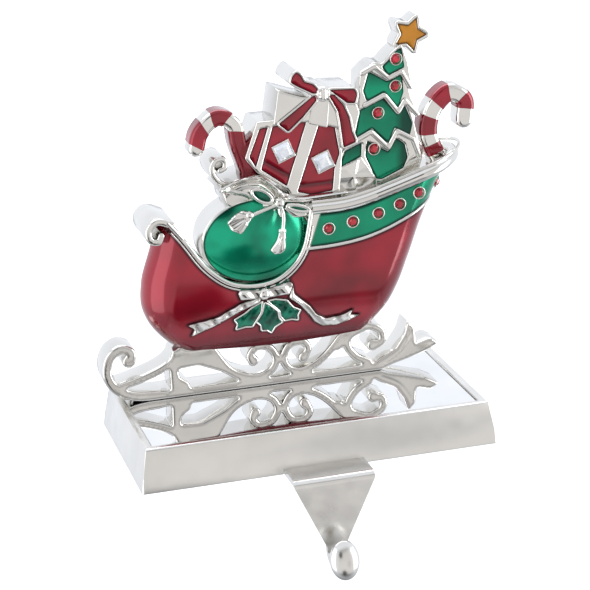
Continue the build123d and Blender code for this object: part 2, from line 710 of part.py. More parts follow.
with BuildPart() as holly_green_enamel:
    with BuildSketch(front(0)):
        for corners in leaf_cells:
            Polygon(*corners, align=None)
    extrude(amount=far)
    add(hull_forms["enamel"], mode=Mode.INTERSECT)
    add([body.part for body in (hull, hull_leaves, hull_ribbon)], mode=Mode.SUBTRACT)
holly_green_enamel.part.label = "holly_green_enamel"
export_step(holly_green_enamel.part, "parts/holly_green_enamel.step")

# Enamel on the sack, and in the loops of its tie
with BuildPart() as sack_green_enamel:
    with BuildSketch(front(0)):
        with Locations(sack_center):
            Ellipse(*sack_radii)
    extrude(amount=sack_half + enamel_thickness)
    fillet(sack_green_enamel.faces().sort_by(Axis.Y)[0].edges(), radius=sack_round)
    add([body.part for body in (sack, sack_mouth, sack_tie, hull, trim, rail)], mode=Mode.SUBTRACT)
sack_green_enamel.part.label = "sack_green_enamel"
export_step(sack_green_enamel.part, "parts/sack_green_enamel.step")
with BuildPart() as tie_green_enamel:
    with BuildSketch(front(tie_half - cell_depth)):
        for place, long_radius, short_radius, turn in tie_loops:
            with Locations(place):
                Ellipse(long_radius - cell_margin, short_radius - cell_margin, rotation=turn)
    extrude(amount=enamel_thickness)
    add(trim.part, mode=Mode.SUBTRACT)
tie_green_enamel.part.label = "tie_green_enamel"
export_step(tie_green_enamel.part, "parts/tie_green_enamel.step")

# Enamel in the sunk cells of the flat pieces, less whatever stands in front of them
flat_enamel = {
    "star_yellow_enamel": (star_half, [star_cell], []),
    "tree_green_enamel": (
        tree_half,
        tree_cells,
        [tree.part, rail.part, parcel.part, gift.part, bow.part, bezels["tree"], stones["tree"]],
    ),
    "gift_red_enamel": (
        gift_half,
        gift_cells,
        [gift.part, bow.part, sack_mouth.part, sack_tie.part, crystal_bezels.part, gift_crystals.part],
    ),
    "bow_red_enamel": (gift_half + bow_step, bow_cells, []),
}
for name, (half, cells, obstacles) in flat_enamel.items():
    with BuildPart() as enamel:
        with BuildSketch(front(half - cell_depth)):
            for corners in cells:
                Polygon(*corners, align=None)
        extrude(amount=enamel_thickness)
        if obstacles:
            add(obstacles, mode=Mode.SUBTRACT)
    enamel.part.label = name
    export_step(enamel.part, f"parts/{name}.step")
for side, path, stripes in zip(("left", "right"), cane_paths, cane_stripes):
    name = f"{side}_cane_red_enamel"
    with BuildLine() as cane_line:
        Spline(*path)
    with BuildPart() as enamel:
        with BuildSketch(front(cane_half - cell_depth)):
            for start, end in stripes:
                trace(cane_line.edge().trim(start, end), line_width=cane_width - 2 * cane_edge - stripe_margin)
        extrude(amount=enamel_thickness)
        add([body.part for body in (gift, sack_mouth, rail, hull)], mode=Mode.SUBTRACT)
    enamel.part.label = name
    export_step(enamel.part, f"parts/{name}.step")
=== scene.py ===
import math

import bmesh
import bpy
import numpy as np
from mathutils import Matrix, Vector
from mathutils.geometry import delaunay_2d_cdt


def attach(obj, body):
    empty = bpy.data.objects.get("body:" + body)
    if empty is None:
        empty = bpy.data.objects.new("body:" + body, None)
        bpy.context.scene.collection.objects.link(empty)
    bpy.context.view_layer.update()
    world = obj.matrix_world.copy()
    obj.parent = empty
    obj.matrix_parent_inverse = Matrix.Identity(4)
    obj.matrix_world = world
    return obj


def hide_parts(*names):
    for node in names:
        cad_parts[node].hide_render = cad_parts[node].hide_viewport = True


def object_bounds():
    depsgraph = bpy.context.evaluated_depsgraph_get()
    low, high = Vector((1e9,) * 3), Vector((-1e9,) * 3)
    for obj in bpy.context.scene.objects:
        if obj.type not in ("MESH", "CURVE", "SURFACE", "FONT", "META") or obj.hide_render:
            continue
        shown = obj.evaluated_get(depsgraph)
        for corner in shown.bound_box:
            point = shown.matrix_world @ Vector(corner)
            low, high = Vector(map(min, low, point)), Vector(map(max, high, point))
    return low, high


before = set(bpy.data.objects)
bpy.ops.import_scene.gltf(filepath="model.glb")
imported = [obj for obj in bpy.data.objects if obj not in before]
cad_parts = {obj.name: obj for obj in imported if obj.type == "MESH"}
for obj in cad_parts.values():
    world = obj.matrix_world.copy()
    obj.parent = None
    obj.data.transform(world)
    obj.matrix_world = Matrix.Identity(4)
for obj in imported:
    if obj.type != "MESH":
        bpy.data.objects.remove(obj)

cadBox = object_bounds()
mm = 0.001
figureY = 22.0        # the figure's middle plane; a depth is measured to the front of it, in millimetres
cellDepth = 0.9
cellSeat = 1.1        # the enamel of a cell goes a little below the cell's floor
cellRounding = 0.3
enamelRise = 0.6
openSide = 9.0        # distance to an edge where there is none near


# Curves and outlines on the front view, as (x, z) in millimetres
def closeLoop(loop):
    return np.vstack([loop, loop[:1]])


def resample(points, step, closed):
    pts = np.asarray(points, float)
    if closed:
        pts = closeLoop(pts)
    gaps = np.linalg.norm(np.diff(pts, axis=0), axis=1)
    run = np.concatenate([[0.0], np.cumsum(gaps)])
    count = max(int(round(run[-1] / step)), 3)
    at = np.linspace(0.0, run[-1], count + 1)
    if closed:
        at = at[:-1]
    return np.column_stack([np.interp(at, run, pts[:, k]) for k in range(pts.shape[1])])


def roundLoop(points, cut, step=0.5):
    pts = np.asarray(points, float)
    t = np.linspace(0.0, 1.0, 8)[:, None]
    corners = []
    for i, here in enumerate(pts):
        ends = []
        for other in (pts[i - 1], pts[(i + 1) % len(pts)]):
            away = other - here
            length = np.linalg.norm(away)
            ends.append(here + away / length * min(cut, 0.48 * length))
        corners.append((1 - t) ** 2 * ends[0] + 2 * t * (1 - t) * here + t ** 2 * ends[1])
    return resample(np.vstack(corners), step, True)


def smoothPath(points, step=0.5):
    pts = np.asarray(points, float)
    padded = np.vstack([2 * pts[0] - pts[1], pts, 2 * pts[-1] - pts[-2]])
    t = np.linspace(0.0, 1.0, 16, endpoint=False)[:, None]
    fine = []
    for i in range(len(pts) - 1):
        a, b, c, d = padded[i:i + 4]
        fine.append(0.5 * (2 * b + (c - a) * t + (2 * a - 5 * b + 4 * c - d) * t ** 2
                           + (3 * b - a - 3 * c + d) * t ** 3))
    fine.append(pts[-1:])
    return resample(np.vstack(fine), step, False)


def ellipseLoop(center, radii, turn=0.0, step=0.5):
    count = int(math.pi * (radii[0] + radii[1]) / step)
    a = np.linspace(0.0, 2 * math.pi, count, endpoint=False)
    c, s = math.cos(math.radians(turn)), math.sin(math.radians(turn))
    x, z = radii[0] * np.cos(a), radii[1] * np.sin(a)
    return np.column_stack([center[0] + c * x - s * z, center[1] + s * x + c * z])


def circleLoop(center, radius, step=0.4):
    return ellipseLoop(center, (radius, radius), 0.0, step)


def pathRun(path):                 # the way a path goes at each of its points
    run = np.gradient(path, axis=0)
    return run / np.linalg.norm(run, axis=1)[:, None]


def pathDistance(points, path):
    path = np.asarray(path, float)
    best = np.full(len(points), np.inf)
    for a, b in zip(path[:-1], path[1:]):
        step = b - a
        t = np.clip(((points - a) @ step) / max(step @ step, 1e-12), 0.0, 1.0)
        best = np.minimum(best, np.linalg.norm(points - a - t[:, None] * step, axis=1))
    return best


def nearest(points, paths):
    return np.min([pathDistance(points, path) for path in paths], axis=0)


def loopDistance(points, loops):
    return nearest(points, [closeLoop(loop) for loop in loops])


def insideLoops(points, loops):
    inside = np.zeros(len(points), bool)
    for loop in loops:
        for (ax, az), (bx, bz) in zip(loop, np.roll(loop, -1, axis=0)):
            if az == bz:
                continue
            crosses = (az > points[:, 1]) != (bz > points[:, 1])
            inside ^= crosses & (points[:, 0] < (bx - ax) * (points[:, 1] - az) / (bz - az) + ax)
    return inside


def edgeLine(path):
    return lambda x: np.interp(x, path[:, 0], path[:, 1])


def loopField(loop):
    return lambda p: np.where(insideLoops(p, [loop]), -1.0, 1.0) * loopDistance(p, [loop])


def strokeField(path, width):
    return lambda p: pathDistance(p, path) - width / 2


def meltFields(fields, soft):
    def field(p):
        joined = fields[0](p)
        for other in fields[1:]:
            value = other(p)
            mix = np.clip(0.5 + 0.5 * (joined - value) / soft, 0.0, 1.0)
            joined = joined * (1 - mix) + value * mix - soft * mix * (1 - mix)
        return joined
    return field


# Closed outlines where a field is zero, walked cell by cell over a grid
def fieldLoops(field, low, high, step=0.4, smooth=2):
    xs = np.arange(low[0], high[0] + step, step)
    zs = np.arange(low[1], high[1] + step, step)
    gx, gz = np.meshgrid(xs, zs, indexing="ij")
    value = field(np.column_stack([gx.ravel(), gz.ravel()])).reshape(gx.shape)
    value[value == 0] = 1e-9
    inside = value < 0

    def crossing(i, j, k, l):
        share = value[i, j] / (value[i, j] - value[k, l])
        return (xs[i] + share * (xs[k] - xs[i]), zs[j] + share * (zs[l] - zs[j]))

    count = inside[:-1, :-1].astype(int) + inside[1:, :-1] + inside[1:, 1:] + inside[:-1, 1:]
    links, spots = {}, {}
    for i, j in zip(*np.nonzero((count > 0) & (count < 4))):
        ring = [(i, j), (i + 1, j), (i + 1, j + 1), (i, j + 1)]
        enter, leave = [], []
        for side in range(4):
            a, b = ring[side], ring[(side + 1) % 4]
            if inside[a] != inside[b]:
                key = (min(a, b), max(a, b))
                spots[key] = crossing(*a, *b)
                (leave if inside[a] else enter).append((side, key))
        for side, key in leave:          # each way out joins the next way in round the cell
            links[key] = min(enter, key=lambda e: (e[0] - side) % 4)[1]
    loops = []
    while links:
        first, key = links.popitem()
        chain = [first]
        while key != first:
            chain.append(key)
            key = links.pop(key)
        loop = np.array([spots[k] for k in chain])
        for _ in range(smooth):
            loop = 0.5 * loop + 0.25 * (np.roll(loop, 1, axis=0) + np.roll(loop, -1, axis=0))
        loops.append(resample(loop, step, True))
    return [loop for loop in loops if len(loop) > 8]


def grownLoops(loops, margin):
    pts = np.vstack(loops)
    pad = margin + 2.0
    fields = [loopField(loop) for loop in loops]
    return fieldLoops(lambda p: np.min([field(p) for field in fields], axis=0) - margin,
                      pts.min(0) - pad, pts.max(0) + pad)


# Closed solids from outlines: a front and a back surface, each given as a depth, joined by a wall
def edgeDrop(d, radius):
    near = radius - np.minimum(d, radius)
    return radius - np.sqrt(np.maximum(radius ** 2 - near ** 2, 0.0))


def slab(loops, front, back, rounding=0.5, spacing=0.7, paintedShade=None):
    rim = np.vstack(loops)
    edges, extra, at = [], [], 0
    for loop in loops:
        count = len(loop)
        edges += [(at + i, at + (i + 1) % count) for i in range(count)]
        at += count
        run = np.roll(loop, -1, axis=0) - np.roll(loop, 1, axis=0)
        normal = np.column_stack([-run[:, 1], run[:, 0]])
        normal /= np.maximum(np.linalg.norm(normal, axis=1), 1e-9)[:, None]
        for share in (0.14, 0.5, 1.0):
            for side in (1, -1):
                ring = loop + side * normal * rounding * share
                extra.append(np.column_stack([ring, np.full(count, rounding * share * 0.93)]))
    low, high = rim.min(0), rim.max(0)
    gx, gz = np.meshgrid(np.arange(low[0], high[0], spacing), np.arange(low[1], high[1], spacing * 0.87))
    gx[1::2] += spacing / 2
    grid = np.column_stack([gx.ravel(), gz.ravel(), np.full(gx.size, rounding + 0.45 * spacing)])
    inner = np.vstack(extra + [grid])    # each point with the least distance it keeps from the edge
    inner = inner[insideLoops(inner[:, :2], loops)]
    inner = inner[loopDistance(inner[:, :2], loops) >= inner[:, 2]]
    flat = np.vstack([rim, inner[:, :2]])
    found = delaunay_2d_cdt([Vector(p) for p in flat], edges, [], 0, 1e-4)
    pts = np.array([tuple(v) for v in found[0]])
    tris = np.array([list(f) for f in found[2]])
    tris = tris[insideLoops(pts[tris].mean(axis=1), loops)]
    used = np.unique(tris)
    new = np.full(len(pts), -1)
    new[used] = np.arange(len(used))
    pts, tris = pts[used], new[tris]
    d = loopDistance(pts, loops)
    d[d < 1e-3] = 0.0
    count = len(pts)
    layers = [np.column_stack([pts[:, 0], figureY - depth(pts, d), pts[:, 1]]) for depth in (front, back)]
    faces = [tuple(t) for t in tris] + [tuple(count + t[::-1]) for t in tris]
    sides = {(t[k], t[(k + 1) % 3]): True for t in tris for k in range(3)}
    faces += [(b, a, count + a, count + b) for a, b in sides if (b, a) not in sides]
    rims = np.concatenate([d, np.full(count, openSide)])
    # the fourth value per point is a darkness for painted shade in folds, grooves and along edges
    dark = np.concatenate([paintedShade(pts, d) if paintedShade else np.zeros(count), np.zeros(count)])
    return np.vstack(layers), faces, rims, dark


def sheet(front, back):
    rows, cols = front.shape[:2]
    far = rows * cols
    at = np.arange(far).reshape(rows, cols)
    faces = []
    for quad in np.dstack([at[:-1, :-1], at[:-1, 1:], at[1:, 1:], at[1:, :-1]]).reshape(-1, 4):
        faces += [tuple(quad), tuple(far + quad[[0, 3, 2, 1]])]
    border = [*at[0], *at[1:, -1], *at[-1, -2::-1], *at[-2:0:-1, 0]]
    faces += [(a, far + a, far + b, b) for a, b in zip(border, border[1:] + border[:1])]
    verts = np.vstack([front.reshape(-1, 3), back.reshape(-1, 3)])
    gaps = [np.linalg.norm(front - front[end], axis=2) for end in (0, -1)]
    rims = np.minimum(np.min(gaps, axis=0), openSide).ravel()
    return verts, faces, np.concatenate([rims, np.full(far, openSide)]), np.zeros(2 * far)


# Surfaces for a slab's front or back
def level(depth, rounding):
    return lambda p, d: depth - edgeDrop(d, rounding)


def flatBack(depth, rounding):
    return lambda p, d: -depth + edgeDrop(d, rounding)


def flatAt(depth):
    return lambda p, d: np.full(len(p), depth)


def pool(floor, rise, reach):      # enamel that stands a little higher away from its edge
    return lambda p, d: floor + rise * (1.0 - 0.55 * np.exp(-d / reach))


def edgeDark(strength, reach):     # painted shade beside an edge, as a slab's darkness
    return lambda p, d: strength * np.exp(-(d / reach) ** 2)


def evenPlate(loops, half, rounding, spacing=0.7):
    return slab(loops, level(half, rounding), flatBack(half, rounding), rounding, spacing)


# A plate with sunk cells: a body that stops at the cells' floor, and a face with the cells left open
def celledPlate(outline, cells, front, back, rounding=0.5):
    floor = front - cellDepth
    return [slab(outline, flatAt(floor), flatBack(back, rounding), rounding, 1.6),
            slab(outline + cells, level(front, rounding), flatAt(floor - 0.3), rounding * 0.6)]


# Finished pieces
def newObject(name, data):
    made = bpy.data.objects.new(name, data)
    bpy.context.scene.collection.objects.link(made)
    return made


def keepPiece(name, mesh, finish, nodes):
    piece = newObject(name, mesh)
    mesh.materials.clear()
    mesh.materials.append(finish)
    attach(piece, "root")
    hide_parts(*nodes)
    print("piece", name, len(mesh.polygons), "faces")
    return piece


def newPiece(name, solids, finish, nodes, smooth=True):
    faces, at = [], 0
    for solid in solids:
        faces += [tuple(int(at + i) for i in f) for f in solid[1]]
        at += len(solid[0])
    mesh = bpy.data.meshes.new(name)
    mesh.from_pydata((np.vstack([solid[0] for solid in solids]) * mm).tolist(), [], faces)
    # the last layer carries the painted shade darkness to the finishes
    for label, k in (("rim", 2), ("paintedShade", 3)):
        layer = mesh.attributes.new(label, "FLOAT", "POINT")
        layer.data.foreach_set("value", np.concatenate([solid[k] for solid in solids]).astype(np.float32))
    work = bmesh.new()
    work.from_mesh(mesh)
    bmesh.ops.remove_doubles(work, verts=work.verts, dist=1e-6)
    bmesh.ops.recalc_face_normals(work, faces=work.faces)
    work.to_mesh(mesh)
    work.free()
    if smooth:
        mesh.shade_smooth()
        mesh.set_sharp_from_angle(angle=math.radians(50))
    else:
        mesh.shade_flat()
    return keepPiece(name, mesh, finish, nodes)


def castPiece(name, solids, smooth=True):
    return newPiece(name, solids, nickel, ["figure_casting"], smooth)


def fillCells(name, cells, front, plate, spacing, finish, node, paintedShade=None):
    solids = [slab([cell], front, flatAt(plate - cellSeat), cellRounding, spacing, paintedShade) for cell in cells]
    return newPiece(name, solids, finish, [node])


# Node graphs: an input is given a link or a plain value
def feed(graph, node, inputs):
    for label, value in inputs.items():
        if isinstance(value, bpy.types.NodeSocket):
            graph.links.new(value, node.inputs[label])
        else:
            node.inputs[label].default_value = value
    return node


def addNode(graph, kind, inputs, **settings):
    node = graph.nodes.new(kind)
    for label, value in settings.items():
        setattr(node, label, value)
    return feed(graph, node, inputs)


def addNoise(graph, scale, detail=2.0):
    place = graph.nodes.new("ShaderNodeTexCoord").outputs["Object"]
    noise = addNode(graph, "ShaderNodeTexNoise", {"Scale": scale, "Detail": detail, "Vector": place})
    return noise.outputs["Fac"]


def addRange(graph, source, span, low=0.0, high=1.0):
    limits = {"From Min": span[0], "From Max": span[1], "To Min": low, "To Max": high, "Value": source}
    return addNode(graph, "ShaderNodeMapRange", limits).outputs["Result"]


def addMix(graph, share, *colours):
    first, second = [(*c, 1.0) if isinstance(c, tuple) else c for c in colours]
    return addNode(graph, "ShaderNodeMix", {0: share, 6: first, 7: second}, data_type="RGBA").outputs[2]


def addBump(graph, source, strength, distance):
    shape = {"Strength": strength, "Distance": distance, "Height": source}
    return addNode(graph, "ShaderNodeBump", shape).outputs["Normal"]


def addAttribute(graph, name):
    return addNode(graph, "ShaderNodeAttribute", {}, attribute_name=name).outputs["Fac"]


# Finishes: a scale is a noise's, a span is the part of the noise that is used
nickelLook = {"toneScale": 55.0, "toneSpan": (0.35, 0.7), "toneDark": 0.93, "roughScale": 140.0,
              "roughDetail": 4.0, "roughSpan": (0.3, 0.7), "waveScale": 150.0, "waveDepth": 0.0006}
enamelLook = {"rough": 0.2, "specular": 0.2, "coatRough": 0.09, "toneSpan": (0.34, 0.68),
              "rimSpan": (0.12, 0.75), "rimCoat": 0.2, "waveScale": 110.0, "wave": 0.12,
              "waveDepth": 0.0008}
stoneLook = {"rough": 0.05, "coatRough": 0.02, "toneScale": 420.0, "toneSpan": (0.35, 0.65)}


def newFinish(name, values):
    finish = bpy.data.materials.new(name)
    finish.use_nodes = True
    graph = finish.node_tree
    return finish, graph, feed(graph, graph.nodes["Principled BSDF"], values)


def nickelFinish(name, bright, rough, wave, paintedShadeTone=None):
    finish, graph, shader = newFinish(name, {"Metallic": 1.0})
    tone = addRange(graph, addNoise(graph, nickelLook["toneScale"]), nickelLook["toneSpan"])
    colour = addMix(graph, tone, bright, tuple(nickelLook["toneDark"] * c for c in bright))
    # painted shade: the casting darkens towards this tone where the point's shade darkness is set
    if paintedShadeTone:
        colour = addMix(graph, addAttribute(graph, "paintedShade"), colour, paintedShadeTone)
    grain = addNoise(graph, nickelLook["roughScale"], nickelLook["roughDetail"])
    ripple = addNoise(graph, nickelLook["waveScale"], 1.0)
    feed(graph, shader, {
        "Base Color": colour,
        "Roughness": addRange(graph, grain, nickelLook["roughSpan"], *rough),
        "Normal": addBump(graph, ripple, wave, nickelLook["waveDepth"]),
    })
    return finish


def enamelFinish(name, bright, deep, edge, metal, coat, grain=42.0):
    finish, graph, shader = newFinish(name, {
        "Metallic": metal, "Roughness": enamelLook["rough"], "Specular IOR Level": enamelLook["specular"],
        "Coat Roughness": enamelLook["coatRough"], "Coat IOR": coat})
    tone = addRange(graph, addNoise(graph, grain), enamelLook["toneSpan"])
    # painted shade: the enamel darkens to the edge colour towards the metal at its rim, and where the shade
    # darkness is set
    rim = addRange(graph, addAttribute(graph, "rim"), enamelLook["rimSpan"], 1.0, 0.0)
    colour = addMix(graph, rim, addMix(graph, tone, bright, deep), edge)
    ripple = addNoise(graph, enamelLook["waveScale"], 1.0)
    feed(graph, shader, {
        "Base Color": addMix(graph, addAttribute(graph, "paintedShade"), colour, edge),
        "Coat Weight": addRange(graph, rim, (0.0, 1.0), 1.0, enamelLook["rimCoat"]),     # duller in corners
        "Normal": addBump(graph, ripple, enamelLook["wave"], enamelLook["waveDepth"]),
    })
    return finish


def stoneFinish(name, bright, deep, metal):
    finish, graph, shader = newFinish(name, {"Metallic": metal, "Roughness": stoneLook["rough"],
                                             "Coat Weight": 1.0, "Coat Roughness": stoneLook["coatRough"]})
    tone = addRange(graph, addNoise(graph, stoneLook["toneScale"]), stoneLook["toneSpan"])
    feed(graph, shader, {"Base Color": addMix(graph, tone, bright, deep)})
    return finish


def plainFinish(name, bright, deep, rough, scale, bump):
    finish, graph, shader = newFinish(name, {"Roughness": rough})
    noise = addNoise(graph, scale, 6.0)
    feed(graph, shader, {"Base Color": addMix(graph, noise, bright, deep),
                         "Normal": addBump(graph, noise, bump, 0.0004)})
    return finish


greenEdge = (0.003, 0.026, 0.02)
blockTone = (0.79, 0.775, 0.745)
nickel = nickelFinish("polishedNickel", (0.80, 0.785, 0.75), (0.07, 0.17), 0.10, (0.10, 0.085, 0.07))
blockNickel = nickelFinish("blockNickel", blockTone, (0.14, 0.24), 0.008)
hookNickel = nickelFinish("hookNickel", blockTone, (0.16, 0.28), 0.03)
mirrorGlass = nickelFinish("mirrorGlass", (0.93, 0.93, 0.93), (0.015, 0.035), 0.0)
screwSteel = nickelFinish("screwSteel", (0.55, 0.55, 0.56), (0.25, 0.4), 0.05)
redEnamel = enamelFinish("redEnamel", (0.31, 0.003, 0.018), (0.14, 0.001, 0.007), (0.035, 0.005, 0.008),
                         0.42, 1.5)
greenEnamel = enamelFinish("greenEnamel", (0.003, 0.32, 0.165), (0.001, 0.15, 0.08), greenEdge, 0.8, 1.34)
sackEnamel = enamelFinish("sackEnamel", (0.002, 0.42, 0.225), (0.001, 0.13, 0.075), greenEdge, 0.85, 1.34,
                          60.0)
hollyEnamel = enamelFinish("hollyEnamel", (0.003, 0.21, 0.12), (0.001, 0.03, 0.02), (0.003, 0.015, 0.012),
                           0.75, 1.36, 170.0)
amberEnamel = enamelFinish("amberEnamel", (0.52, 0.21, 0.012), (0.43, 0.17, 0.01), (0.06, 0.03, 0.01),
                           0.3, 1.4)
redStone = stoneFinish("redStone", (0.55, 0.01, 0.03), (0.25, 0.003, 0.012), 0.35)
clearCrystal = stoneFinish("clearCrystal", (0.9, 0.92, 0.96), (0.74, 0.79, 0.86), 0.85)
padFelt = plainFinish("padFelt", (0.03, 0.03, 0.032), (0.012, 0.012, 0.013), 0.95, 2500.0, 0.5)
for node, finish in (("mirror_plate", mirrorGlass), ("base_pad", padFelt), ("hook_screws", screwSteel),
                     ("figure_screws", screwSteel)):
    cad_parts[node].data.materials.clear()
    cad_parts[node].data.materials.append(finish)
print("finishes ready")

# The block and the hook keep their own form, with the block's outer edges broken
softForm = {"weld": 2e-6, "flatAngle": 2.0, "cornerAngle": 25.0, "smoothAngle": 32.0, "bevel": 0.45,
            "fromX": 0.06, "fromZ": -1e-4}


def blockEdges(work):
    bmesh.ops.dissolve_limit(work, angle_limit=math.radians(softForm["flatAngle"]), verts=work.verts,
                             edges=work.edges)
    corner = math.radians(softForm["cornerAngle"])
    return [e for e in work.edges if e.is_manifold and e.calc_face_angle() > corner
            and min(v.co.z for v in e.verts) > softForm["fromZ"]
            and max(abs(v.co.x) for v in e.verts) > softForm["fromX"]]


def softCopy(name, node, finish, bevelled):
    work = bmesh.new()
    work.from_mesh(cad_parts[node].data)
    bmesh.ops.remove_doubles(work, verts=work.verts, dist=softForm["weld"])
    if bevelled:
        bmesh.ops.bevel(work, geom=blockEdges(work), offset=softForm["bevel"] * mm, segments=3, profile=0.5,
                        affect="EDGES", clamp_overlap=True)
    bmesh.ops.recalc_face_normals(work, faces=work.faces)
    mesh = bpy.data.meshes.new(name)
    work.to_mesh(mesh)
    work.free()
    mesh.shade_smooth()
    mesh.set_sharp_from_angle(angle=math.radians(softForm["smoothAngle"]))
    return keepPiece(name, mesh, finish, [node])


softCopy("baseBlock", "base_casting", blockNickel, True)
softCopy("stockingHook", "hook_bracket", hookNickel, False)


# Geometry Nodes: a tree with named inputs, which ends in real, painted geometry
def newTree(name, sockets):
    tree = bpy.data.node_groups.new(name, "GeometryNodeTree")
    names = {}
    for label, kind in {"Geometry": "Geometry", **sockets, "Finish": "Material"}.items():
        socket = tree.interface.new_socket(label, in_out="INPUT", socket_type="NodeSocket" + kind)
        names[label] = socket.identifier
    tree.interface.new_socket("Geometry", in_out="OUTPUT", socket_type="NodeSocketGeometry")
    return tree, names, tree.nodes.new("NodeGroupInput").outputs


def endTree(tree, shape, given):
    real = addNode(tree, "GeometryNodeRealizeInstances", {0: shape}).outputs[0]
    paint = addNode(tree, "GeometryNodeSetMaterial", {"Geometry": real, "Material": given["Finish"]})
    addNode(tree, "NodeGroupOutput", {0: paint.outputs[0]})


def addCircle(tree, radius, resolution):
    size = {"Radius": radius, "Resolution": resolution}
    return addNode(tree, "GeometryNodeCurvePrimitiveCircle", size).outputs["Curve"]


def addTube(tree, curve, profile, capped):
    parts = {"Curve": curve, "Profile Curve": profile, "Fill Caps": capped}
    tube = addNode(tree, "GeometryNodeCurveToMesh", parts)
    return addNode(tree, "GeometryNodeSetShadeSmooth", {"Geometry": tube.outputs[0]}).outputs[0]


# A tube swept along edges; a point's radius attribute scales it
def sweepTree():
    tree, names, given = newTree("sweptLine", {"Radius": "Float", "Step": "Float", "Sides": "Int"})
    curve = addNode(tree, "GeometryNodeMeshToCurve", {0: given["Geometry"]}).outputs[0]
    steps = {"Curve": curve, "Length": given["Step"]}
    even = addNode(tree, "GeometryNodeResampleCurve", steps, mode="LENGTH")
    circle = addCircle(tree, given["Radius"], given["Sides"])
    endTree(tree, addTube(tree, even.outputs[0], circle, True), given)
    return tree, names


# Stones or their bezels set on points that carry the way they face
def settingTree(kind):
    tree, names, given = newTree(kind, {"Radius": "Float", "Rise": "Float"})
    if kind == "bezelSetting":
        wire = addCircle(tree, given["Rise"], 10)
        shape = addTube(tree, addCircle(tree, given["Radius"], 32), wire, False)
    else:
        table = addNode(tree, "ShaderNodeMath", {0: given["Radius"], 1: 0.52}, operation="MULTIPLY")
        cut = {"Vertices": 9, "Radius Bottom": given["Radius"], "Radius Top": table.outputs[0],
               "Depth": given["Rise"]}
        shape = addNode(tree, "GeometryNodeMeshCone", cut).outputs[0]
    named = addNode(tree, "GeometryNodeInputNamedAttribute", {"Name": "facing"}, data_type="FLOAT_VECTOR")
    facing = {"Vector": named.outputs["Attribute"]}
    turn = addNode(tree, "FunctionNodeAlignRotationToVector", facing, axis="Z")
    place = {"Points": given["Geometry"], "Instance": shape, "Rotation": turn.outputs["Rotation"]}
    endTree(tree, addNode(tree, "GeometryNodeInstanceOnPoints", place).outputs["Instances"], given)
    return tree, names


sweep = sweepTree()
bezelSetting = settingTree("bezelSetting")
stoneSetting = settingTree("stoneSetting")


def growMesh(source, tree, values):       # runs a tree on a mesh and gives back the plain result
    piece = newObject("workpiece", source)
    step = piece.modifiers.new("grow", "NODES")
    step.node_group = tree[0]
    for label, value in values.items():
        step[tree[1][label]] = value
    deps = bpy.context.evaluated_depsgraph_get()
    mesh = bpy.data.meshes.new_from_object(piece.evaluated_get(deps))
    piece.modifiers.clear()
    bpy.data.objects.remove(piece)
    return mesh


def sweptLines(name, lines, radius, sides=12, closed=False):
    mesh = bpy.data.meshes.new(name + "Path")
    verts, edges, scale = [], [], []
    for line in lines:
        at = len(verts)
        verts += [tuple(mm * c for c in p[:3]) for p in line]
        scale += [p[3] if len(p) > 3 else 1.0 for p in line]
        edges += [(at + i, at + i + 1) for i in range(len(line) - 1)]
        if closed:
            edges.append((at + len(line) - 1, at))
    mesh.from_pydata(verts, edges, [])
    layer = mesh.attributes.new("radius", "FLOAT", "POINT")
    layer.data.foreach_set("value", np.array(scale, np.float32))
    grown = growMesh(mesh, sweep, {"Radius": radius * mm, "Step": 0.5 * mm, "Sides": sides, "Finish": nickel})
    return keepPiece(name, grown, nickel, ["figure_casting"])


def atDepth(path, depth):          # lays a front-view path at a depth, or on a surface given as a function
    depths = depth(path) if callable(depth) else np.full(len(path), float(depth))
    return np.column_stack([path[:, 0], figureY - depths, path[:, 1]])


# Hull: long rounded sections at rising heights, each with its left end, right end and half depth
hull = {
    "stations": [(37.5, -44.5, 38.0, 6.6), (41.0, -49.0, 41.5, 8.6), (47.0, -54.5, 47.0, 10.6),
                 (56.0, -58.8, 52.3, 12.0), (68.0, -58.8, 57.3, 12.5), (84.0, -54.0, 63.2, 12.5),
                 (100.0, -51.0, 70.5, 12.5), (119.0, -49.0, 81.0, 12.5)],
    "trim": [(-49.5, 96.3), (-42.7, 87.6), (-34.6, 76), (-24.5, 68), (-12.4, 65.6), (-1.4, 68.5), (7.7, 78),
             (11.9, 95.5)],
    "rail": [(11.9, 95.5), (26.4, 95.8), (38, 97.9), (47.5, 100.9), (56.5, 104), (65.6, 107.2), (84, 113.2)],
    "band": [(8.5, 78.6), (21.8, 78.9), (33.9, 80.4), (44, 83.2), (54, 87.4), (80, 99)],
    "bandFrom": 9.0, "railFrom": 11.9, "endShare": 0.13, "columns": 240, "rows": 84,
    "bandShare": 0.565, "bandColumns": 110, "bandRows": 36, "enamelBack": -0.4,
    "trimRadius": 1.0, "lineRadius": 0.42, "lineGap": 1.75, "lineSpan": slice(8, -14), "trimSkin": 0.5,
    "bandRadius": 0.75, "bandSkin": 0.35, "railRadius": 2.6, "railSkin": -0.4, "railFlare": 2.2,
    "railSwell": 0.16, "railSwellFrom": 60.0, "railSwellRun": 16.0,
    "beadRadius": 0.8, "beadSkin": 0.2, "beadLift": 2.9, "sag": 1.6, "sagReach": 36.0,
    "bulge": 1.9, "bulgeReach": 56.0, "bulgeLow": 38.0, "bulgeHigh": 80.0,
    "swell": 1.45, "swellAt": (-28.0, 73.0), "swellReach": 13.0,
    "edgeShade": 1.7, "keelShade": (-4.5, 20.0), "keelReach": 60.0, "trimHold": 0.75, "endColumns": 400,
}
stations = np.array(hull["stations"])
trimPath = smoothPath(hull["trim"])
railPath = smoothPath(hull["rail"])
bandPath = smoothPath(hull["band"])


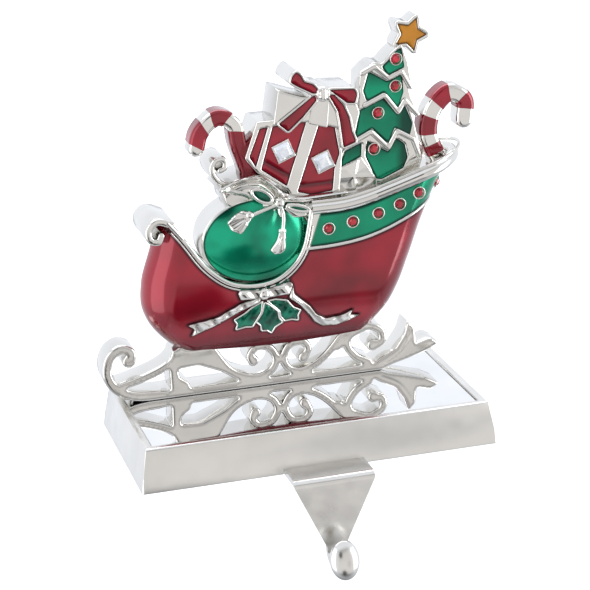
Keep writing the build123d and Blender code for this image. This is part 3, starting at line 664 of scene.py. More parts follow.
def hullAt(z):                     # left end, right end and half depth at a height
    h = stations[:, 0]
    z = np.clip(z, h[0], h[-1])
    i = np.clip(np.searchsorted(h, z) - 1, 0, len(h) - 2)
    span = h[i + 1] - h[i]
    t = (z - h[i]) / span
    out = []
    for k in (1, 2, 3):
        slope = np.gradient(stations[:, k], h)
        out.append((2 * t ** 3 - 3 * t ** 2 + 1) * stations[i, k]
                   + (t ** 3 - 2 * t ** 2 + t) * span * slope[i]
                   + (3 * t ** 2 - 2 * t ** 3) * stations[i + 1, k]
                   + (t ** 3 - t ** 2) * span * slope[i + 1])
    return out


def hullBulge(x, z):               # slight crown of the pressed side, and a swell under the sack's left
    t = np.clip((z - hull["bulgeLow"]) / (hull["bulgeHigh"] - hull["bulgeLow"]), 0.0, 1.0)
    crown = hull["bulge"] * np.sin(math.pi * t) ** 2 * np.maximum(1 - (x / hull["bulgeReach"]) ** 2, 0.0)
    away = ((x - hull["swellAt"][0]) ** 2 + (z - hull["swellAt"][1]) ** 2) / hull["swellReach"] ** 2
    return crown + hull["swell"] * np.exp(-away)


def hullDepth(points, skin):       # how far the hull's front stands before the middle plane
    left, right, half = hullAt(points[:, 1])
    half = half + skin
    over = np.maximum(left - skin + half - points[:, 0], points[:, 0] - (right + skin - half))
    crown = hullBulge(points[:, 0], points[:, 1])
    return np.sqrt(np.maximum(half ** 2 - np.maximum(over, 0.0) ** 2, 1.0)) + crown


def onHull(skin):
    return lambda p, d: hullDepth(p, skin)


def hullPoint(s, z, skin):         # a point round the front from the left end, s = 0, to the right end, s = 1
    left, right, half = hullAt(z)
    left, right, half = left - skin, right + skin, half + skin
    share = hull["endShare"]
    turnLeft = np.clip(s / share, 0, 1) * math.pi / 2
    turnRight = np.clip((s - 1 + share) / share, 0, 1) * math.pi / 2
    middle = np.clip((s - share) / (1 - 2 * share), 0, 1)
    x = left + half + middle * (right - left - 2 * half)
    x = x - half * np.cos(turnLeft) * (s < share) + half * np.sin(turnRight) * (s > 1 - share)
    depth = half * np.where(s < share, np.sin(turnLeft), np.where(s > 1 - share, np.cos(turnRight), 1.0))
    return x, depth + hullBulge(x, z)


def hullHeights(s, edge, skin, guess=80.0):        # where the skin meets an edge that is given over x
    z = np.full(len(s), guess)
    for _ in range(25):
        z = 0.5 * z + 0.5 * edge(hullPoint(s, z, skin)[0])
    return z


def hullGrid(columns, rows, edges, skin, side=1):
    low, high = [hullHeights(columns, edge, skin) for edge in edges]
    grid = np.zeros((rows, len(columns), 3))
    for r in range(rows):
        z = low + (high - low) * r / (rows - 1)
        x, depth = hullPoint(columns, z, skin)
        grid[r] = np.column_stack([x, figureY - side * depth, z])
    return grid


def topEdge(start, path):          # the trim's line, and from a place on another line
    return lambda x: np.where(x < start, edgeLine(trimPath)(x), edgeLine(path)(x))


def hullFloor(x):
    return stations[0, 0] - hull["sag"] * np.maximum(1 - (x / hull["sagReach"]) ** 2, 0.0)


hullLayout = (np.linspace(0.0, 1.0, hull["columns"]), hull["rows"])
castEdges = (hullFloor, topEdge(hull["railFrom"], railPath))
castPiece("hullCasting", [sheet(*[hullGrid(*hullLayout, castEdges, 0.0, side) for side in (1, -1)])])


def bothSides(path):               # a line on the hull, kept to the flat side at the left end, front and back
    left, right, half = hullAt(path[:, 1])
    held = np.column_stack([np.maximum(path[:, 0], left + half * hull["trimHold"]), path[:, 1]])
    line = atDepth(path, lambda p: hullDepth(held, hull["trimSkin"]))
    return [line, np.column_stack([line[:, 0], 2 * figureY - line[:, 1], line[:, 2]])]


def roundEnd(path, skin, flare=0.0):          # front line, round the right end and along the back
    s = np.linspace(0.0, 1.0, hull["endColumns"])
    skin = skin + flare * np.clip((s - 1 + 2 * hull["endShare"]) / hull["endShare"], 0.0, 1.0)
    z = hullHeights(s, edgeLine(path), skin, 100.0)
    x, depth = hullPoint(s, z, skin)
    keep = x >= path[0, 0]
    front, back = [np.column_stack([x, figureY - side * depth, z])[keep] for side in (1, -1)]
    return np.vstack([front, back[::-1]])


trimRun = pathRun(trimPath)
outerTrim = trimPath + np.column_stack([trimRun[:, 1], -trimRun[:, 0]]) * hull["lineGap"]
sweptLines("hullTrim", bothSides(trimPath), hull["trimRadius"])
sweptLines("hullTrimLine", bothSides(outerTrim[hull["lineSpan"]]), hull["lineRadius"], sides=8)
sweptLines("bandLine", [roundEnd(bandPath, hull["bandSkin"])], hull["bandRadius"], sides=10)
railLine = roundEnd(railPath, hull["railSkin"], hull["railFlare"])
railEnd = np.clip((railLine[:, 0] - hull["railSwellFrom"]) / hull["railSwellRun"], 0.0, 1.0)
railLine = np.column_stack([railLine, 1.0 + hull["railSwell"] * railEnd])
sweptLines("sleighRail", [railLine], hull["railRadius"], sides=24)
beadLine = roundEnd(railPath + np.array([0.0, hull["beadLift"]]), hull["beadSkin"], hull["railFlare"])
sweptLines("sleighRailBead", [beadLine], hull["beadRadius"], sides=10)
print("hull ready")

# Runner: scrolls and struts melted together, flat faced with soft edges
runner = {
    "strokes": [
        ([(-55, 18.8), (-66, 20), (-73.3, 24), (-76.9, 30.5), (-75.7, 37.8), (-71, 41.4), (-66.5, 39.6),
          (-66.7, 35.5)], 4.2),
        ([(-73, 24.5), (-60, 28), (-51, 32), (-45, 38)], 3.4),
        ([(-31, 35), (-24, 26), (-17, 22.2), (-11, 21.5), (-5.5, 24), (-3.6, 29), (-6.5, 34), (-12, 35),
          (-15, 31.5), (-14, 28.5)], 3.4),
        ([(27, 36.5), (20, 28.5), (14, 23.8), (7.5, 21.6), (2, 23.5), (-0.2, 28.5), (2.5, 34), (8, 35),
          (10.8, 31.5), (8.2, 27)], 3.4),
        ([(38, 21.5), (32, 25), (28.3, 31), (31, 37), (37, 38.4), (43.5, 35.5), (44.2, 30.5),
          (39.5, 28.6)], 3.6),
    ],
    "tips": [((-67.6, 35.8), 2.7), ((-13.4, 29.0), 2.3), ((8.7, 27.8), 2.3), ((40.0, 29.2), 2.6)],
    "plates": [
        [(-66, 20.6), (-58, 17), (44, 17), (50, 20.6)],
        [(-49, 38.5), (-50.5, 30), (-47.5, 29.5), (-38, 30.2), (-28, 26), (-19.5, 20.5), (-24.5, 27.5),
         (-30.5, 38.5)],
        [(-50.5, 31), (-50.3, 18.5), (-41.2, 18.5), (-41.8, 23), (-46, 26), (-46.5, 31)],
        [(20, 29.5), (24.5, 28.5), (29.5, 33), (41, 38), (38, 40), (27, 39)],
        [(38, 19), (43, 22.6), (50, 26), (54.2, 32), (56.2, 38.3), (59.4, 34.5), (60, 27.3), (66.5, 29.2),
         (70.7, 26.6), (65, 23.4), (55, 20.5), (45, 18)],
    ],
    "vein": [(44, 20.5), (51, 24.5), (56, 31), (57, 36)], "veinDepth": 0.3, "veinWidth": 1.1,
    "half": 6.5, "corner": 1.2, "melt": 1.0, "rounding": 1.15, "seat": 17.02, "low": (-82, 15),
    "high": (74, 45), "edgeLine": 0.5, "edgeAt": 0.95, "edgeReach": 0.35,
}
runnerFields = [strokeField(smoothPath(path), width) for path, width in runner["strokes"]]
runnerFields += [loopField(roundLoop(points, runner["corner"])) for points in runner["plates"]]
runnerFields += [loopField(circleLoop(place, r, 0.5)) for place, r in runner["tips"]]
runnerShape = meltFields(runnerFields, runner["melt"])
runnerLoops = fieldLoops(lambda p: np.maximum(runnerShape(p), runner["seat"] - p[:, 1]),
                         runner["low"], runner["high"])


def runnerFront(p, d):
    vein = np.exp(-(pathDistance(p, smoothPath(runner["vein"])) / runner["veinWidth"]) ** 2)
    return runner["half"] - runner["veinDepth"] * vein - edgeDrop(d, runner["rounding"])


# painted shade: a dark line just inside each edge of the runner's face
def runnerEdgeShade(p, d):
    return runner["edgeLine"] * np.exp(-((d - runner["edgeAt"]) / runner["edgeReach"]) ** 2)


castPiece("runnerScrolls", [slab(runnerLoops, runnerFront, flatBack(runner["half"], runner["rounding"]),
                                 runner["rounding"], 0.8, runnerEdgeShade)])
scrolls = {
    "dashScroll": {
        "path": [(-47.5, 95), (-53.5, 97), (-57.3, 94), (-56.8, 89.6), (-53.6, 88.4), (-52.2, 91)],
        "low": (-62, 84), "high": (-44, 102), "width": 2.9, "half": 13.0, "rounding": 0.9, "step": 0.35,
        "spacing": 0.7},
    "seatScroll": {
        "path": [(-21.5, 107.5), (-26.5, 110.5), (-29, 115.5), (-27, 119.3), (-23.6, 119.2), (-23.5, 115.9),
                 (-25.6, 114.8)],
        "low": (-33, 104), "high": (-18, 124), "width": 2.3, "half": 9.0, "rounding": 0.8, "step": 0.3,
        "spacing": 0.6},
}
for name, scroll in scrolls.items():
    field = strokeField(smoothPath(scroll["path"]), scroll["width"])
    loops = fieldLoops(field, scroll["low"], scroll["high"], scroll["step"])
    castPiece(name, [evenPlate(loops, scroll["half"], scroll["rounding"], scroll["spacing"])])
print("runner ready")

# Ribbon bow and holly leaves that lie on the hull
ribbon = {
    "shapes": [
        [(-10.4, 63.6), (-20.5, 65), (-22, 63.6), (-20.8, 60.2), (-10.4, 60)],
        [(-10.4, 63.6), (1, 66), (2.4, 64.6), (0.6, 60.4), (-10.4, 60)],
        [(-12, 61), (-20.5, 59), (-31, 53.6), (-43.4, 51.4), (-40.4, 49), (-41.8, 45.6), (-31.5, 49.6),
         (-20.5, 55.4), (-12, 58.6)],
        [(2.2, 65), (2.7, 60.4), (9.7, 53.9), (12.8, 49.3), (16.8, 46.8), (23.8, 47.3), (29.2, 49.6),
         (28, 47), (32.6, 46.4), (27.9, 44.2), (21.8, 42.4), (15.8, 42.8), (12, 45.6), (9, 50), (5.2, 54.6),
         (0, 59)],
    ],
    "knot": (-10.4, 61.8), "knotRadius": 2.6, "knotRise": 2.3, "knotRounding": 2.0,
    "rise": 1.7, "rounding": 1.2, "fold": 0.45, "foldRun": (0.75, 0.55), "backSkin": -0.5, "corner": 0.8,
    "foldDark": 1.2, "foldDarkFrom": 0.55, "foldDarkMost": 0.5, "edgeDark": (0.4, 0.3),
}
leaves = {
    "cells": [
        [(-11.2, 58.6), (-15.6, 56.4), (-18.4, 54.2), (-23.3, 51.4), (-21.8, 48.9), (-22.4, 46.3),
         (-18.2, 47.2), (-15, 46.9), (-14.1, 48.9), (-11.7, 53.2)],
        [(-10.3, 58), (-11.2, 53.4), (-13.7, 49), (-11.6, 47), (-11.1, 44.2), (-8.6, 44), (-6.5, 42.3),
         (-5.2, 45.2), (-1.9, 47.4), (-3.7, 49.6), (-4.3, 53), (-7.8, 56.3)],
        [(-9.2, 58.5), (-6.0, 55.4), (-3.6, 52.9), (-3.1, 50.4), (-1.3, 47.9), (1.8, 48.3), (4.9, 47.4),
         (4.6, 50.0), (5.6, 52.3), (2.2, 54.2), (-0.6, 57.8), (-5.5, 58.9)],
    ],
    "sprig": [(-21.6, 66.4), (-17.9, 65.2), (-12.2, 64.5), (-6.3, 65.1), (-0.4, 67.6), (1.6, 66.3),
              (-1.1, 64.2), (-6.4, 62.8), (-12.2, 62.4), (-20.3, 63.4)],
    "rise": 0.72, "riseReach": 1.2, "ripple": 0.12, "rippleRun": 1.9, "backSkin": -0.3, "line": 0.42,
    "lineSkin": 0.9, "corner": 0.25, "sprigCorner": 0.4,
}


def ribbonWave(p):
    return np.sin(p[:, 0] * ribbon["foldRun"][0] + p[:, 1] * ribbon["foldRun"][1])


def ribbonFront(p, d):
    fold = ribbon["fold"] * ribbonWave(p) * np.clip(d / ribbon["rounding"], 0, 1)
    return hullDepth(p, enamelRise) + ribbon["rise"] - edgeDrop(d, ribbon["rounding"]) + fold


# painted shade in the hollows of the ribbon's folds and along its edges
def ribbonShade(p, d):
    dark = -ribbonWave(p) * ribbon["foldDark"] - ribbon["foldDarkFrom"]
    return np.clip(dark, 0.0, ribbon["foldDarkMost"]) + edgeDark(*ribbon["edgeDark"])(p, d)


def ribbonKnot(p, d):
    return hullDepth(p, enamelRise) + ribbon["knotRise"] - edgeDrop(d, ribbon["knotRounding"])


def leafFront(p, d):
    ripple = leaves["ripple"] * np.sin(p[:, 0] * leaves["rippleRun"] - p[:, 1])
    return hullDepth(p, enamelRise) + leaves["rise"] * (1 - np.exp(-d / leaves["riseReach"])) + ripple


ribbonBack = onHull(ribbon["backSkin"])
ribbonLoops = [roundLoop(shape, ribbon["corner"], step=0.4) for shape in ribbon["shapes"]]
ribbonSolids = [slab([loop], ribbonFront, ribbonBack, ribbon["rounding"], 0.5, ribbonShade)
                for loop in ribbonLoops]
ribbonSolids.append(slab([circleLoop(ribbon["knot"], ribbon["knotRadius"])], ribbonKnot, ribbonBack,
                         ribbon["knotRounding"], 0.4))
castPiece("ribbonBow", ribbonSolids)
leafLoops = [roundLoop(cell, leaves["corner"], step=0.3) for cell in leaves["cells"]]
sprigLoop = roundLoop(leaves["sprig"], leaves["sprigCorner"], step=0.4)
leafSolids = [slab([loop], leafFront, onHull(leaves["backSkin"])) for loop in leafLoops + [sprigLoop]]
newPiece("hollyEnamel", leafSolids, hollyEnamel, ["holly_green_enamel"])
sweptLines("hollyLines", [atDepth(loop, lambda p: hullDepth(p, leaves["lineSkin"])) for loop in leafLoops],
           leaves["line"], sides=8, closed=True)


# The hull's enamel, darkened as painted shade beside the metal that bounds it and towards the keel: each
# bound is a path, its half width and a reach
def shadedEnamel(edges, columns, rows, bounds):
    verts, faces, rim, dark = sheet(hullGrid(columns, rows, edges, enamelRise),
                                    hullGrid(columns, rows, edges, hull["enamelBack"]))
    flat = verts[:len(verts) // 2][:, [0, 2]]
    gaps = [(pathDistance(flat, path) - half) / reach for path, half, reach in bounds]
    rim[:len(flat)] = np.maximum(np.min(gaps, axis=0), 0.0)
    return verts, faces, rim, dark


keelZ = stations[0, 0] - hull["sag"]
bandBound = (bandPath, hull["bandRadius"], hull["edgeShade"])
redBounds = [(outerTrim, hull["lineRadius"], hull["edgeShade"]), bandBound,
             ([(-hull["keelReach"], keelZ), (hull["keelReach"], keelZ)], *hull["keelShade"])]
redBounds += [(closeLoop(loop), 0.0, hull["edgeShade"]) for loop in ribbonLoops + [sprigLoop]]
redBounds += [(closeLoop(loop), leaves["line"], hull["edgeShade"]) for loop in leafLoops]
newPiece("hullRedEnamel", [shadedEnamel((hullFloor, topEdge(hull["bandFrom"], bandPath)), *hullLayout, redBounds)],
         redEnamel, ["body_red_enamel"])
greenBounds = [bandBound, (railPath, hull["railRadius"], hull["edgeShade"])]
bandLayout = (np.linspace(hull["bandShare"], 1.0, hull["bandColumns"]), hull["bandRows"])
newPiece("bandGreenEnamel", [shadedEnamel((edgeLine(bandPath), edgeLine(railPath)), *bandLayout, greenBounds)],
         greenEnamel, ["band_green_enamel"])
print("ribbon, holly and hull enamel ready")

# Sack, its gathered mouth, the tie and two tassels
sack = {
    "center": (-10.9, 83.5), "radii": (23.8, 18.3), "margin": 0.7, "half": 11.5, "rounding": 5.0,
    "side": 9.2, "crown": 13.6, "swell": 0.8, "enamelSink": 0.9, "enamelBack": 3.0, "enamelRounding": 0.8,
    "mouth": [(-23.6, 99.5), (-24.2, 104.6), (-27.8, 107.6), (-23.5, 109.5), (-17.7, 111.8), (-10.0, 112.2),
              (-6.2, 110.2), (-2.3, 106.2), (1.6, 102.8), (6.6, 100.9), (13, 100.9), (29.7, 101.6),
              (20, 92), (-10, 92)],
    "lip": slice(2, 12), "mouthHalf": 10.0, "mouthRise": 1.2, "mouthRounding": 0.8,
    "rolls": [(1.0, 0.8, 0.75), (-1.5, 3.6, 1.7)],        # height, distance from the lip, reach
    "domePleats": (5.0, 0.5, 12.0), "mouthPleats": (8.0, 0.6, 15.0), "mouthPleat": 0.8,
    "foldEdge": [(-27.0, 107.2), (-21.9, 106.4), (-15.7, 104.8), (-10.4, 101.6), (-4.0, 99.8)],
    "tuck": 2.6, "tuckDrop": 1.6, "tuckFrom": -6.0, "tuckRun": 6.0,
    "folds": [[(-27, 107.4), (-21.9, 106.4), (-15.7, 104.8), (-10.4, 101.8), (-4, 99.8)],
              [(-14, 108.2), (-9.5, 107.6), (-5, 104.2), (-2.4, 100.6)],
              [(13, 98.8), (6, 99.4), (0, 99.6)]],
    "foldRadius": 0.75, "foldTaper": 0.25, "mouthCorner": 3.0,
    "mouthDark": 0.05, "mouthDarkMost": 0.1, "edgeDark": (0.3, 0.3),
}
tie = {
    "knot": (-1.6, 99.4), "loops": [((-9.2, 103.4), (4.9, 2.2), -33), ((6.2, 96.6), (5.1, 1.2), -16)],
    "half": 13.0, "floor": 12.2, "loopRadius": 0.72, "loopDepth": 12.7, "cordRadius": 0.85, "cordLift": 0.45,
    "cords": [[(-1.6, 99.4), (-8, 97.4), (-14.5, 95.2)], [(-1.6, 99.4), (-0.2, 94), (-0.9, 87.5)]],
    "tassels": [[(-14.2, 96.8), (-17.2, 98.2), (-21, 96.4), (-24.4, 93.4), (-22.8, 90.0), (-19.0, 88.2),
                 (-16.0, 91.4), (-13.8, 94.4)],
                [(-2.7, 87.6), (0.3, 87.6), (0.5, 83.5), (0, 79.4), (-2.2, 77.6), (-4.8, 77.8), (-6.9, 80),
                 (-4.8, 82.6), (-3.2, 85)]],
    "necks": [(-14.6, 95.6), (-0.9, 87.2)], "ridges": 39 / math.pi, "ridgeHeight": 0.3, "rounding": 0.9,
    "tasselDrop": 0.2, "tasselLift": 1.3, "loopBack": 9.5, "buttonBack": 9.0, "tasselBack": 8.5,
    "tasselCorner": 0.9, "ridgeFrom": 1.5, "ridgeRun": 2.0, "ridgeDark": 0.35, "ridgeDarkFrom": 0.4,
    "ridgeDarkAway": 2.5, "poolRise": 0.7, "poolReach": 0.8,
    "knotButton": {"radius": 2.4, "rise": 0.6, "rounding": 1.9, "step": 0.4, "spacing": 0.5},
    "neckButton": {"radius": 1.9, "rise": 0.5, "rounding": 1.5, "step": 0.35, "spacing": 0.4},
}


def pleats(p, count, phase, reach):        # folds that run out from the knot
    away = p - np.array(tie["knot"])
    wave = np.sin(count * np.arctan2(away[:, 1], away[:, 0]) + phase)
    return wave * np.exp(-np.linalg.norm(away, axis=1) / reach)


def sackDome(p):
    across = (p - np.array(sack["center"])) / np.array(sack["radii"])
    swell = np.maximum(1 - (across ** 2).sum(axis=1), 0.0) ** sack["swell"]
    return sack["side"] + (sack["crown"] - sack["side"] + pleats(p, *sack["domePleats"])) * swell


sackLoop = ellipseLoop(sack["center"], sack["radii"])
poolLoop = ellipseLoop(sack["center"], tuple(r - sack["margin"] for r in sack["radii"]))
castPiece("sackBody", [slab([sackLoop], lambda p, d: sackDome(p) - sack["enamelSink"],
                            flatBack(sack["half"], sack["rounding"]), rounding=3.0, spacing=1.1)])
newPiece("sackGreenEnamel", [slab([poolLoop], lambda p, d: sackDome(p), flatAt(sack["enamelBack"]),
                                  sack["enamelRounding"], 0.8)],
         sackEnamel, ["sack_green_enamel"])
lipPath = smoothPath(sack["mouth"][sack["lip"]])
foldEdge = edgeLine(smoothPath(sack["foldEdge"]))


def mouthWaves(p):
    lip = pathDistance(p, lipPath)
    rolls = sum(height * np.exp(-((lip - at) / reach) ** 2) for height, at, reach in sack["rolls"])
    below = np.clip((foldEdge(p[:, 0]) - p[:, 1]) / sack["tuckDrop"], 0, 1)
    aside = np.clip((sack["tuckFrom"] - p[:, 0]) / sack["tuckRun"], 0, 1)
    tuck = sack["tuck"] * below * aside        # the neck lies behind the lip
    return rolls + sack["mouthPleat"] * pleats(p, *sack["mouthPleats"]) - tuck


def mouthFront(p, d):
    return sack["mouthHalf"] + sack["mouthRise"] + mouthWaves(p) - edgeDrop(d, sack["mouthRounding"])


# painted shade in the hollows of the mouth's rolls and tuck, and along its edge
def mouthShade(p, d):
    dark = np.clip(-sack["mouthDark"] * mouthWaves(p), 0, sack["mouthDarkMost"])
    return dark + edgeDark(*sack["edgeDark"])(p, d)


castPiece("sackMouth", [slab([roundLoop(sack["mouth"], sack["mouthCorner"])], mouthFront,
                             flatBack(sack["mouthHalf"], sack["mouthRounding"]), sack["mouthRounding"], 0.6,
                             mouthShade)])
foldLines = []
for path in map(smoothPath, sack["folds"]):
    line = atDepth(path, lambda p: mouthFront(p, np.full(len(p), openSide)))
    taper = np.sin(np.linspace(sack["foldTaper"], math.pi - sack["foldTaper"], len(path)))
    foldLines.append(np.column_stack([line, taper]))
sweptLines("sackFolds", foldLines, sack["foldRadius"], sides=10)
tieLoops = [ellipseLoop(place, radii, turn, step=0.4) for place, radii, turn in tie["loops"]]
tiePool = pool(tie["floor"], tie["poolRise"], tie["poolReach"])
newPiece("tieGreenEnamel", [slab([loop], tiePool, flatAt(tie["loopBack"]), rounding=0.4, spacing=0.5)
                            for loop in tieLoops],
         hollyEnamel, ["tie_green_enamel"])
sweptLines("tieLoops", [atDepth(loop, tie["loopDepth"]) for loop in tieLoops], tie["loopRadius"], closed=True)


def onSack(p):
    return np.maximum(sackDome(p) + tie["cordLift"], tie["floor"])


sweptLines("tieCords", [atDepth(smoothPath(points), onSack) for points in tie["cords"]], tie["cordRadius"])


def tieButton(place, radius, rise, rounding, step, spacing):
    loop = circleLoop(place, radius, step)
    return slab([loop], level(tie["half"] + rise, rounding), flatAt(tie["buttonBack"]), rounding, spacing)


def tassel(corners, neck):
    def ridges(p):
        away = p - np.array(neck)
        return np.cos(tie["ridges"] * np.arctan2(away[:, 1], away[:, 0])), np.linalg.norm(away, axis=1)

    def front(p, d):
        ridge, reach = ridges(p)
        grooves = tie["ridgeHeight"] * ridge * np.clip((reach - tie["ridgeFrom"]) / tie["ridgeRun"], 0, 1)
        lying = np.maximum(tie["half"] - tie["tasselDrop"], sackDome(p) + tie["tasselLift"])
        return lying + grooves - edgeDrop(d, tie["rounding"])

    # painted shade in the grooves between the tassel's ridges
    def paintedShade(p, d):
        ridge, reach = ridges(p)
        dark = np.clip(-ridge - tie["ridgeDarkFrom"], 0, tie["ridgeDark"])
        return dark * (reach > tie["ridgeDarkAway"])

    loop = roundLoop(corners, tie["tasselCorner"], step=0.35)
    return slab([loop], front, flatAt(tie["tasselBack"]), tie["rounding"], 0.4, paintedShade)


knotSolids = [tieButton(tie["knot"], **tie["knotButton"])]
for corners, neck in zip(tie["tassels"], tie["necks"]):
    knotSolids += [tassel(corners, neck), tieButton(neck, **tie["neckButton"])]
castPiece("tieKnotAndTassels", knotSolids)
print("sack ready")

# Gift box with its lid and bow, and the small parcel
gift = {
    "half": 9.5,
    "block": [(-9.4, 134), (-15, 119), (-10, 112.5), (3, 103.6), (6, 96), (25, 97), (27, 117), (25, 130),
              (12, 134)],
    "cells": [
        [(-2.7, 131.5), (-8.2, 113.7), (2.6, 105.6), (11.7, 132.2)],
        [(17.2, 130.7), (23.9, 128.7), (25.7, 117.2), (23.4, 111.1), (22.4, 101.6), (12.9, 100.8),
         (7.1, 102.6)],
        [(-8.2, 131), (-13, 119.5), (-10.4, 115), (-4.7, 131.5)],
    ],
    "lid": [(-2.6, 132), (-0.2, 146.6), (9.9, 143), (25, 140.4), (33.5, 138), (34.8, 134), (31.8, 123.4),
            (27, 121.5), (25, 128.2), (12.9, 132.2)],
    "lidRibbon": [(14.2, 142.2), (12.4, 131.4), (20.4, 128.9), (21.6, 140.6)],
    "backSet": 0.2, "corner": 0.7, "cellCorner": 0.6,
    "lidStep": 0.7, "lidRounding": 0.6, "lidBackSet": 0.3, "lidDark": (0.3, 0.3), "lidRibbonStep": 0.4,
    "lidRibbonRounding": 0.35, "lidRibbonSink": 1.0, "lidRibbonDark": (0.5, 0.25), "lidRibbonCorner": 0.4,
    "bow": [
        [(4.9, 149.6), (5.7, 151.8), (7.5, 153.6), (9.3, 152.2), (10.8, 149.2), (14.5, 147.9), (16.7, 145.4),
         (15.8, 143.9), (14.1, 144.2), (10.5, 146.2), (7.9, 147.6)],
        [(21.4, 145), (32.3, 144.3), (33.4, 141.8), (32.4, 138.4), (28.9, 138.8), (25.9, 141.3)],
        [(14.9, 143.4), (16, 141.3), (9.9, 134.7), (3.4, 129.1), (1.6, 130.7), (-0.6, 132.6)],
        [(21.2, 142.6), (23.4, 142.9), (27.4, 138), (29.9, 132.2), (31, 126.2), (32.6, 121.9), (27, 120),
         (25.7, 131.2), (24.9, 135.7)],
    ],
    "bowStep": 1.8, "margin": 0.9, "knot": (18.6, 143.4), "knotRadius": 3.2, "knotRise": 0.9,
    "knotRounding": 1.6, "streaks": [[(-7.0, 117.0), (3.6, 109.6)], [(9.0, 105.0), (23.0, 105.2)]],
    "streakDepth": 0.3, "streakDark": 0.8, "enamelRise": 0.75, "panelReach": 1.5, "bowReach": 1.2,
    "bowCorner": 0.7, "bowBackSet": 0.1, "bowRounding": 0.45, "knotRipple": 0.25, "knotRippleRun": 2.4,
    "knotBackRounding": 0.6,
    "crystals": [(1.3, 120.8), (18.2, 114.6)], "crystalSize": 6.4, "crystalTurn": 22.0,
}
giftHalf = gift["half"]
giftCells = [roundLoop(cell, gift["cellCorner"], step=0.4) for cell in gift["cells"]]
giftBlock = roundLoop(gift["block"], gift["corner"])
giftSolids = celledPlate([giftBlock], giftCells, giftHalf, giftHalf - gift["backSet"])
lidTop = giftHalf + gift["lidStep"]
lidBack = flatBack(giftHalf - gift["lidBackSet"], gift["lidRounding"])
# the lid and its ribbon get painted shade along their edges
giftSolids.append(slab([roundLoop(gift["lid"], gift["corner"])], level(lidTop, gift["lidRounding"]), lidBack,
                       gift["lidRounding"], 1.0, edgeDark(*gift["lidDark"])))
lidRibbon = roundLoop(gift["lidRibbon"], gift["lidRibbonCorner"])
giftSolids.append(slab([lidRibbon], level(lidTop + gift["lidRibbonStep"], gift["lidRibbonRounding"]),
                       flatAt(giftHalf - gift["lidRibbonSink"]), 0.4, 1.0,
                       edgeDark(*gift["lidRibbonDark"])))
castPiece("giftBox", giftSolids)


def giftStreak(p, d):              # a pressed fold near the foot of each panel
    return np.exp(-nearest(p, gift["streaks"]) ** 2)


def panelFront(p, d):
    panel = pool(giftHalf - cellDepth, gift["enamelRise"], gift["panelReach"])
    return panel(p, d) - gift["streakDepth"] * giftStreak(p, d)


# painted shade in the pressed fold at the foot of each panel
fillCells("giftRedEnamel", giftCells, panelFront, giftHalf, 0.7, redEnamel, "gift_red_enamel",
          lambda p, d: gift["streakDark"] * giftStreak(p, d))
bowFront = giftHalf + gift["bowStep"]
bowCells = [roundLoop(cell, gift["bowCorner"], step=0.35) for cell in gift["bow"]]
bowSolids = []
for loop in grownLoops(bowCells, gift["margin"]):
    held = [cell for cell in bowCells if insideLoops(cell[:1], [loop])[0]]
    bowSolids += celledPlate([loop], held, bowFront, giftHalf - gift["bowBackSet"], gift["bowRounding"])


def bowKnotFront(p, d):
    ripple = gift["knotRipple"] * np.sin(p[:, 0] * gift["knotRippleRun"])
    return bowFront + gift["knotRise"] - edgeDrop(d, gift["knotRounding"]) + ripple


bowSolids.append(slab([circleLoop(gift["knot"], gift["knotRadius"])], bowKnotFront,
                      flatBack(giftHalf, gift["knotBackRounding"]), gift["knotRounding"], 0.5))
castPiece("giftBow", bowSolids)
bowPool = pool(bowFront - cellDepth, gift["enamelRise"], gift["bowReach"])
fillCells("bowRedEnamel", bowCells, bowPool, bowFront, 0.8, redEnamel, "bow_red_enamel")
parcel = {
    "block": [(24.5, 104), (26, 110.5), (36, 114.6), (42.5, 104), (43, 98), (26, 97)],
    "cross": [[(25, 106.5), (32, 106.3), (41.5, 105.5)], [(33.5, 113.5), (32, 106.3), (33, 98)]],
    "half": 7.5, "rounding": 0.7, "backRounding": 0.6, "corner": 0.8, "ridge": 0.9, "ridgeReach": 2.2,
    "edgeDark": (0.35, 0.35),
}


def parcelFront(p, d):
    ridge = parcel["ridge"] * np.exp(-nearest(p, parcel["cross"]) / parcel["ridgeReach"])
    return parcel["half"] + ridge - edgeDrop(d, parcel["rounding"])


# painted shade along the parcel's edge
castPiece("parcel", [slab([roundLoop(parcel["block"], parcel["corner"])], parcelFront,
                          flatBack(parcel["half"], parcel["backRounding"]), parcel["rounding"], 0.6,
                          edgeDark(*parcel["edgeDark"]))])


# Step-cut square crystals in their frames
def squareRings(center, turn, levels):
    c, s = math.cos(math.radians(turn)), math.sin(math.radians(turn))
    verts, faces = [], []
    for size, depth in levels:
        for sx, sz in ((-1, -1), (1, -1), (1, 1), (-1, 1)):
            x, z = sx * size / 2, sz * size / 2
            verts.append((center[0] + c * x - s * z, figureY - depth, center[1] + s * x + c * z))
    for ring in range(len(levels) - 1):
        for k in range(4):
            a, b = 4 * ring + k, 4 * ring + (k + 1) % 4
            faces.append((a, b, b + 4, a + 4))
    last = 4 * (len(levels) - 1)
    faces += [(0, 3, 2, 1), (last, last + 1, last + 2, last + 3)]
    return np.array(verts), faces, np.full(len(verts), openSide), np.zeros(len(verts))


def crystalRings(levels):          # each level is a size and a rise over the gift's face
    return [squareRings(place, gift["crystalTurn"], [(size, giftHalf + rise) for size, rise in levels])
            for place in gift["crystals"]]


size = gift["crystalSize"]
crystalLevels = [(size + 0.5, 0.0), (size + 0.5, 1.0), (0.86 * size, 1.75), (0.64 * size, 2.3),
                 (0.6 * size, 2.35)]
frameLevels = [(size + 1.6, -1.0), (size + 1.6, 0.9), (size + 1.2, 1.2), (size + 0.6, 1.2), (size + 0.4, 0.2)]
newPiece("giftCrystals", crystalRings(crystalLevels), clearCrystal, ["gift_crystals"], False)
castPiece("crystalFrames", crystalRings(frameLevels), False)
print("gifts ready")

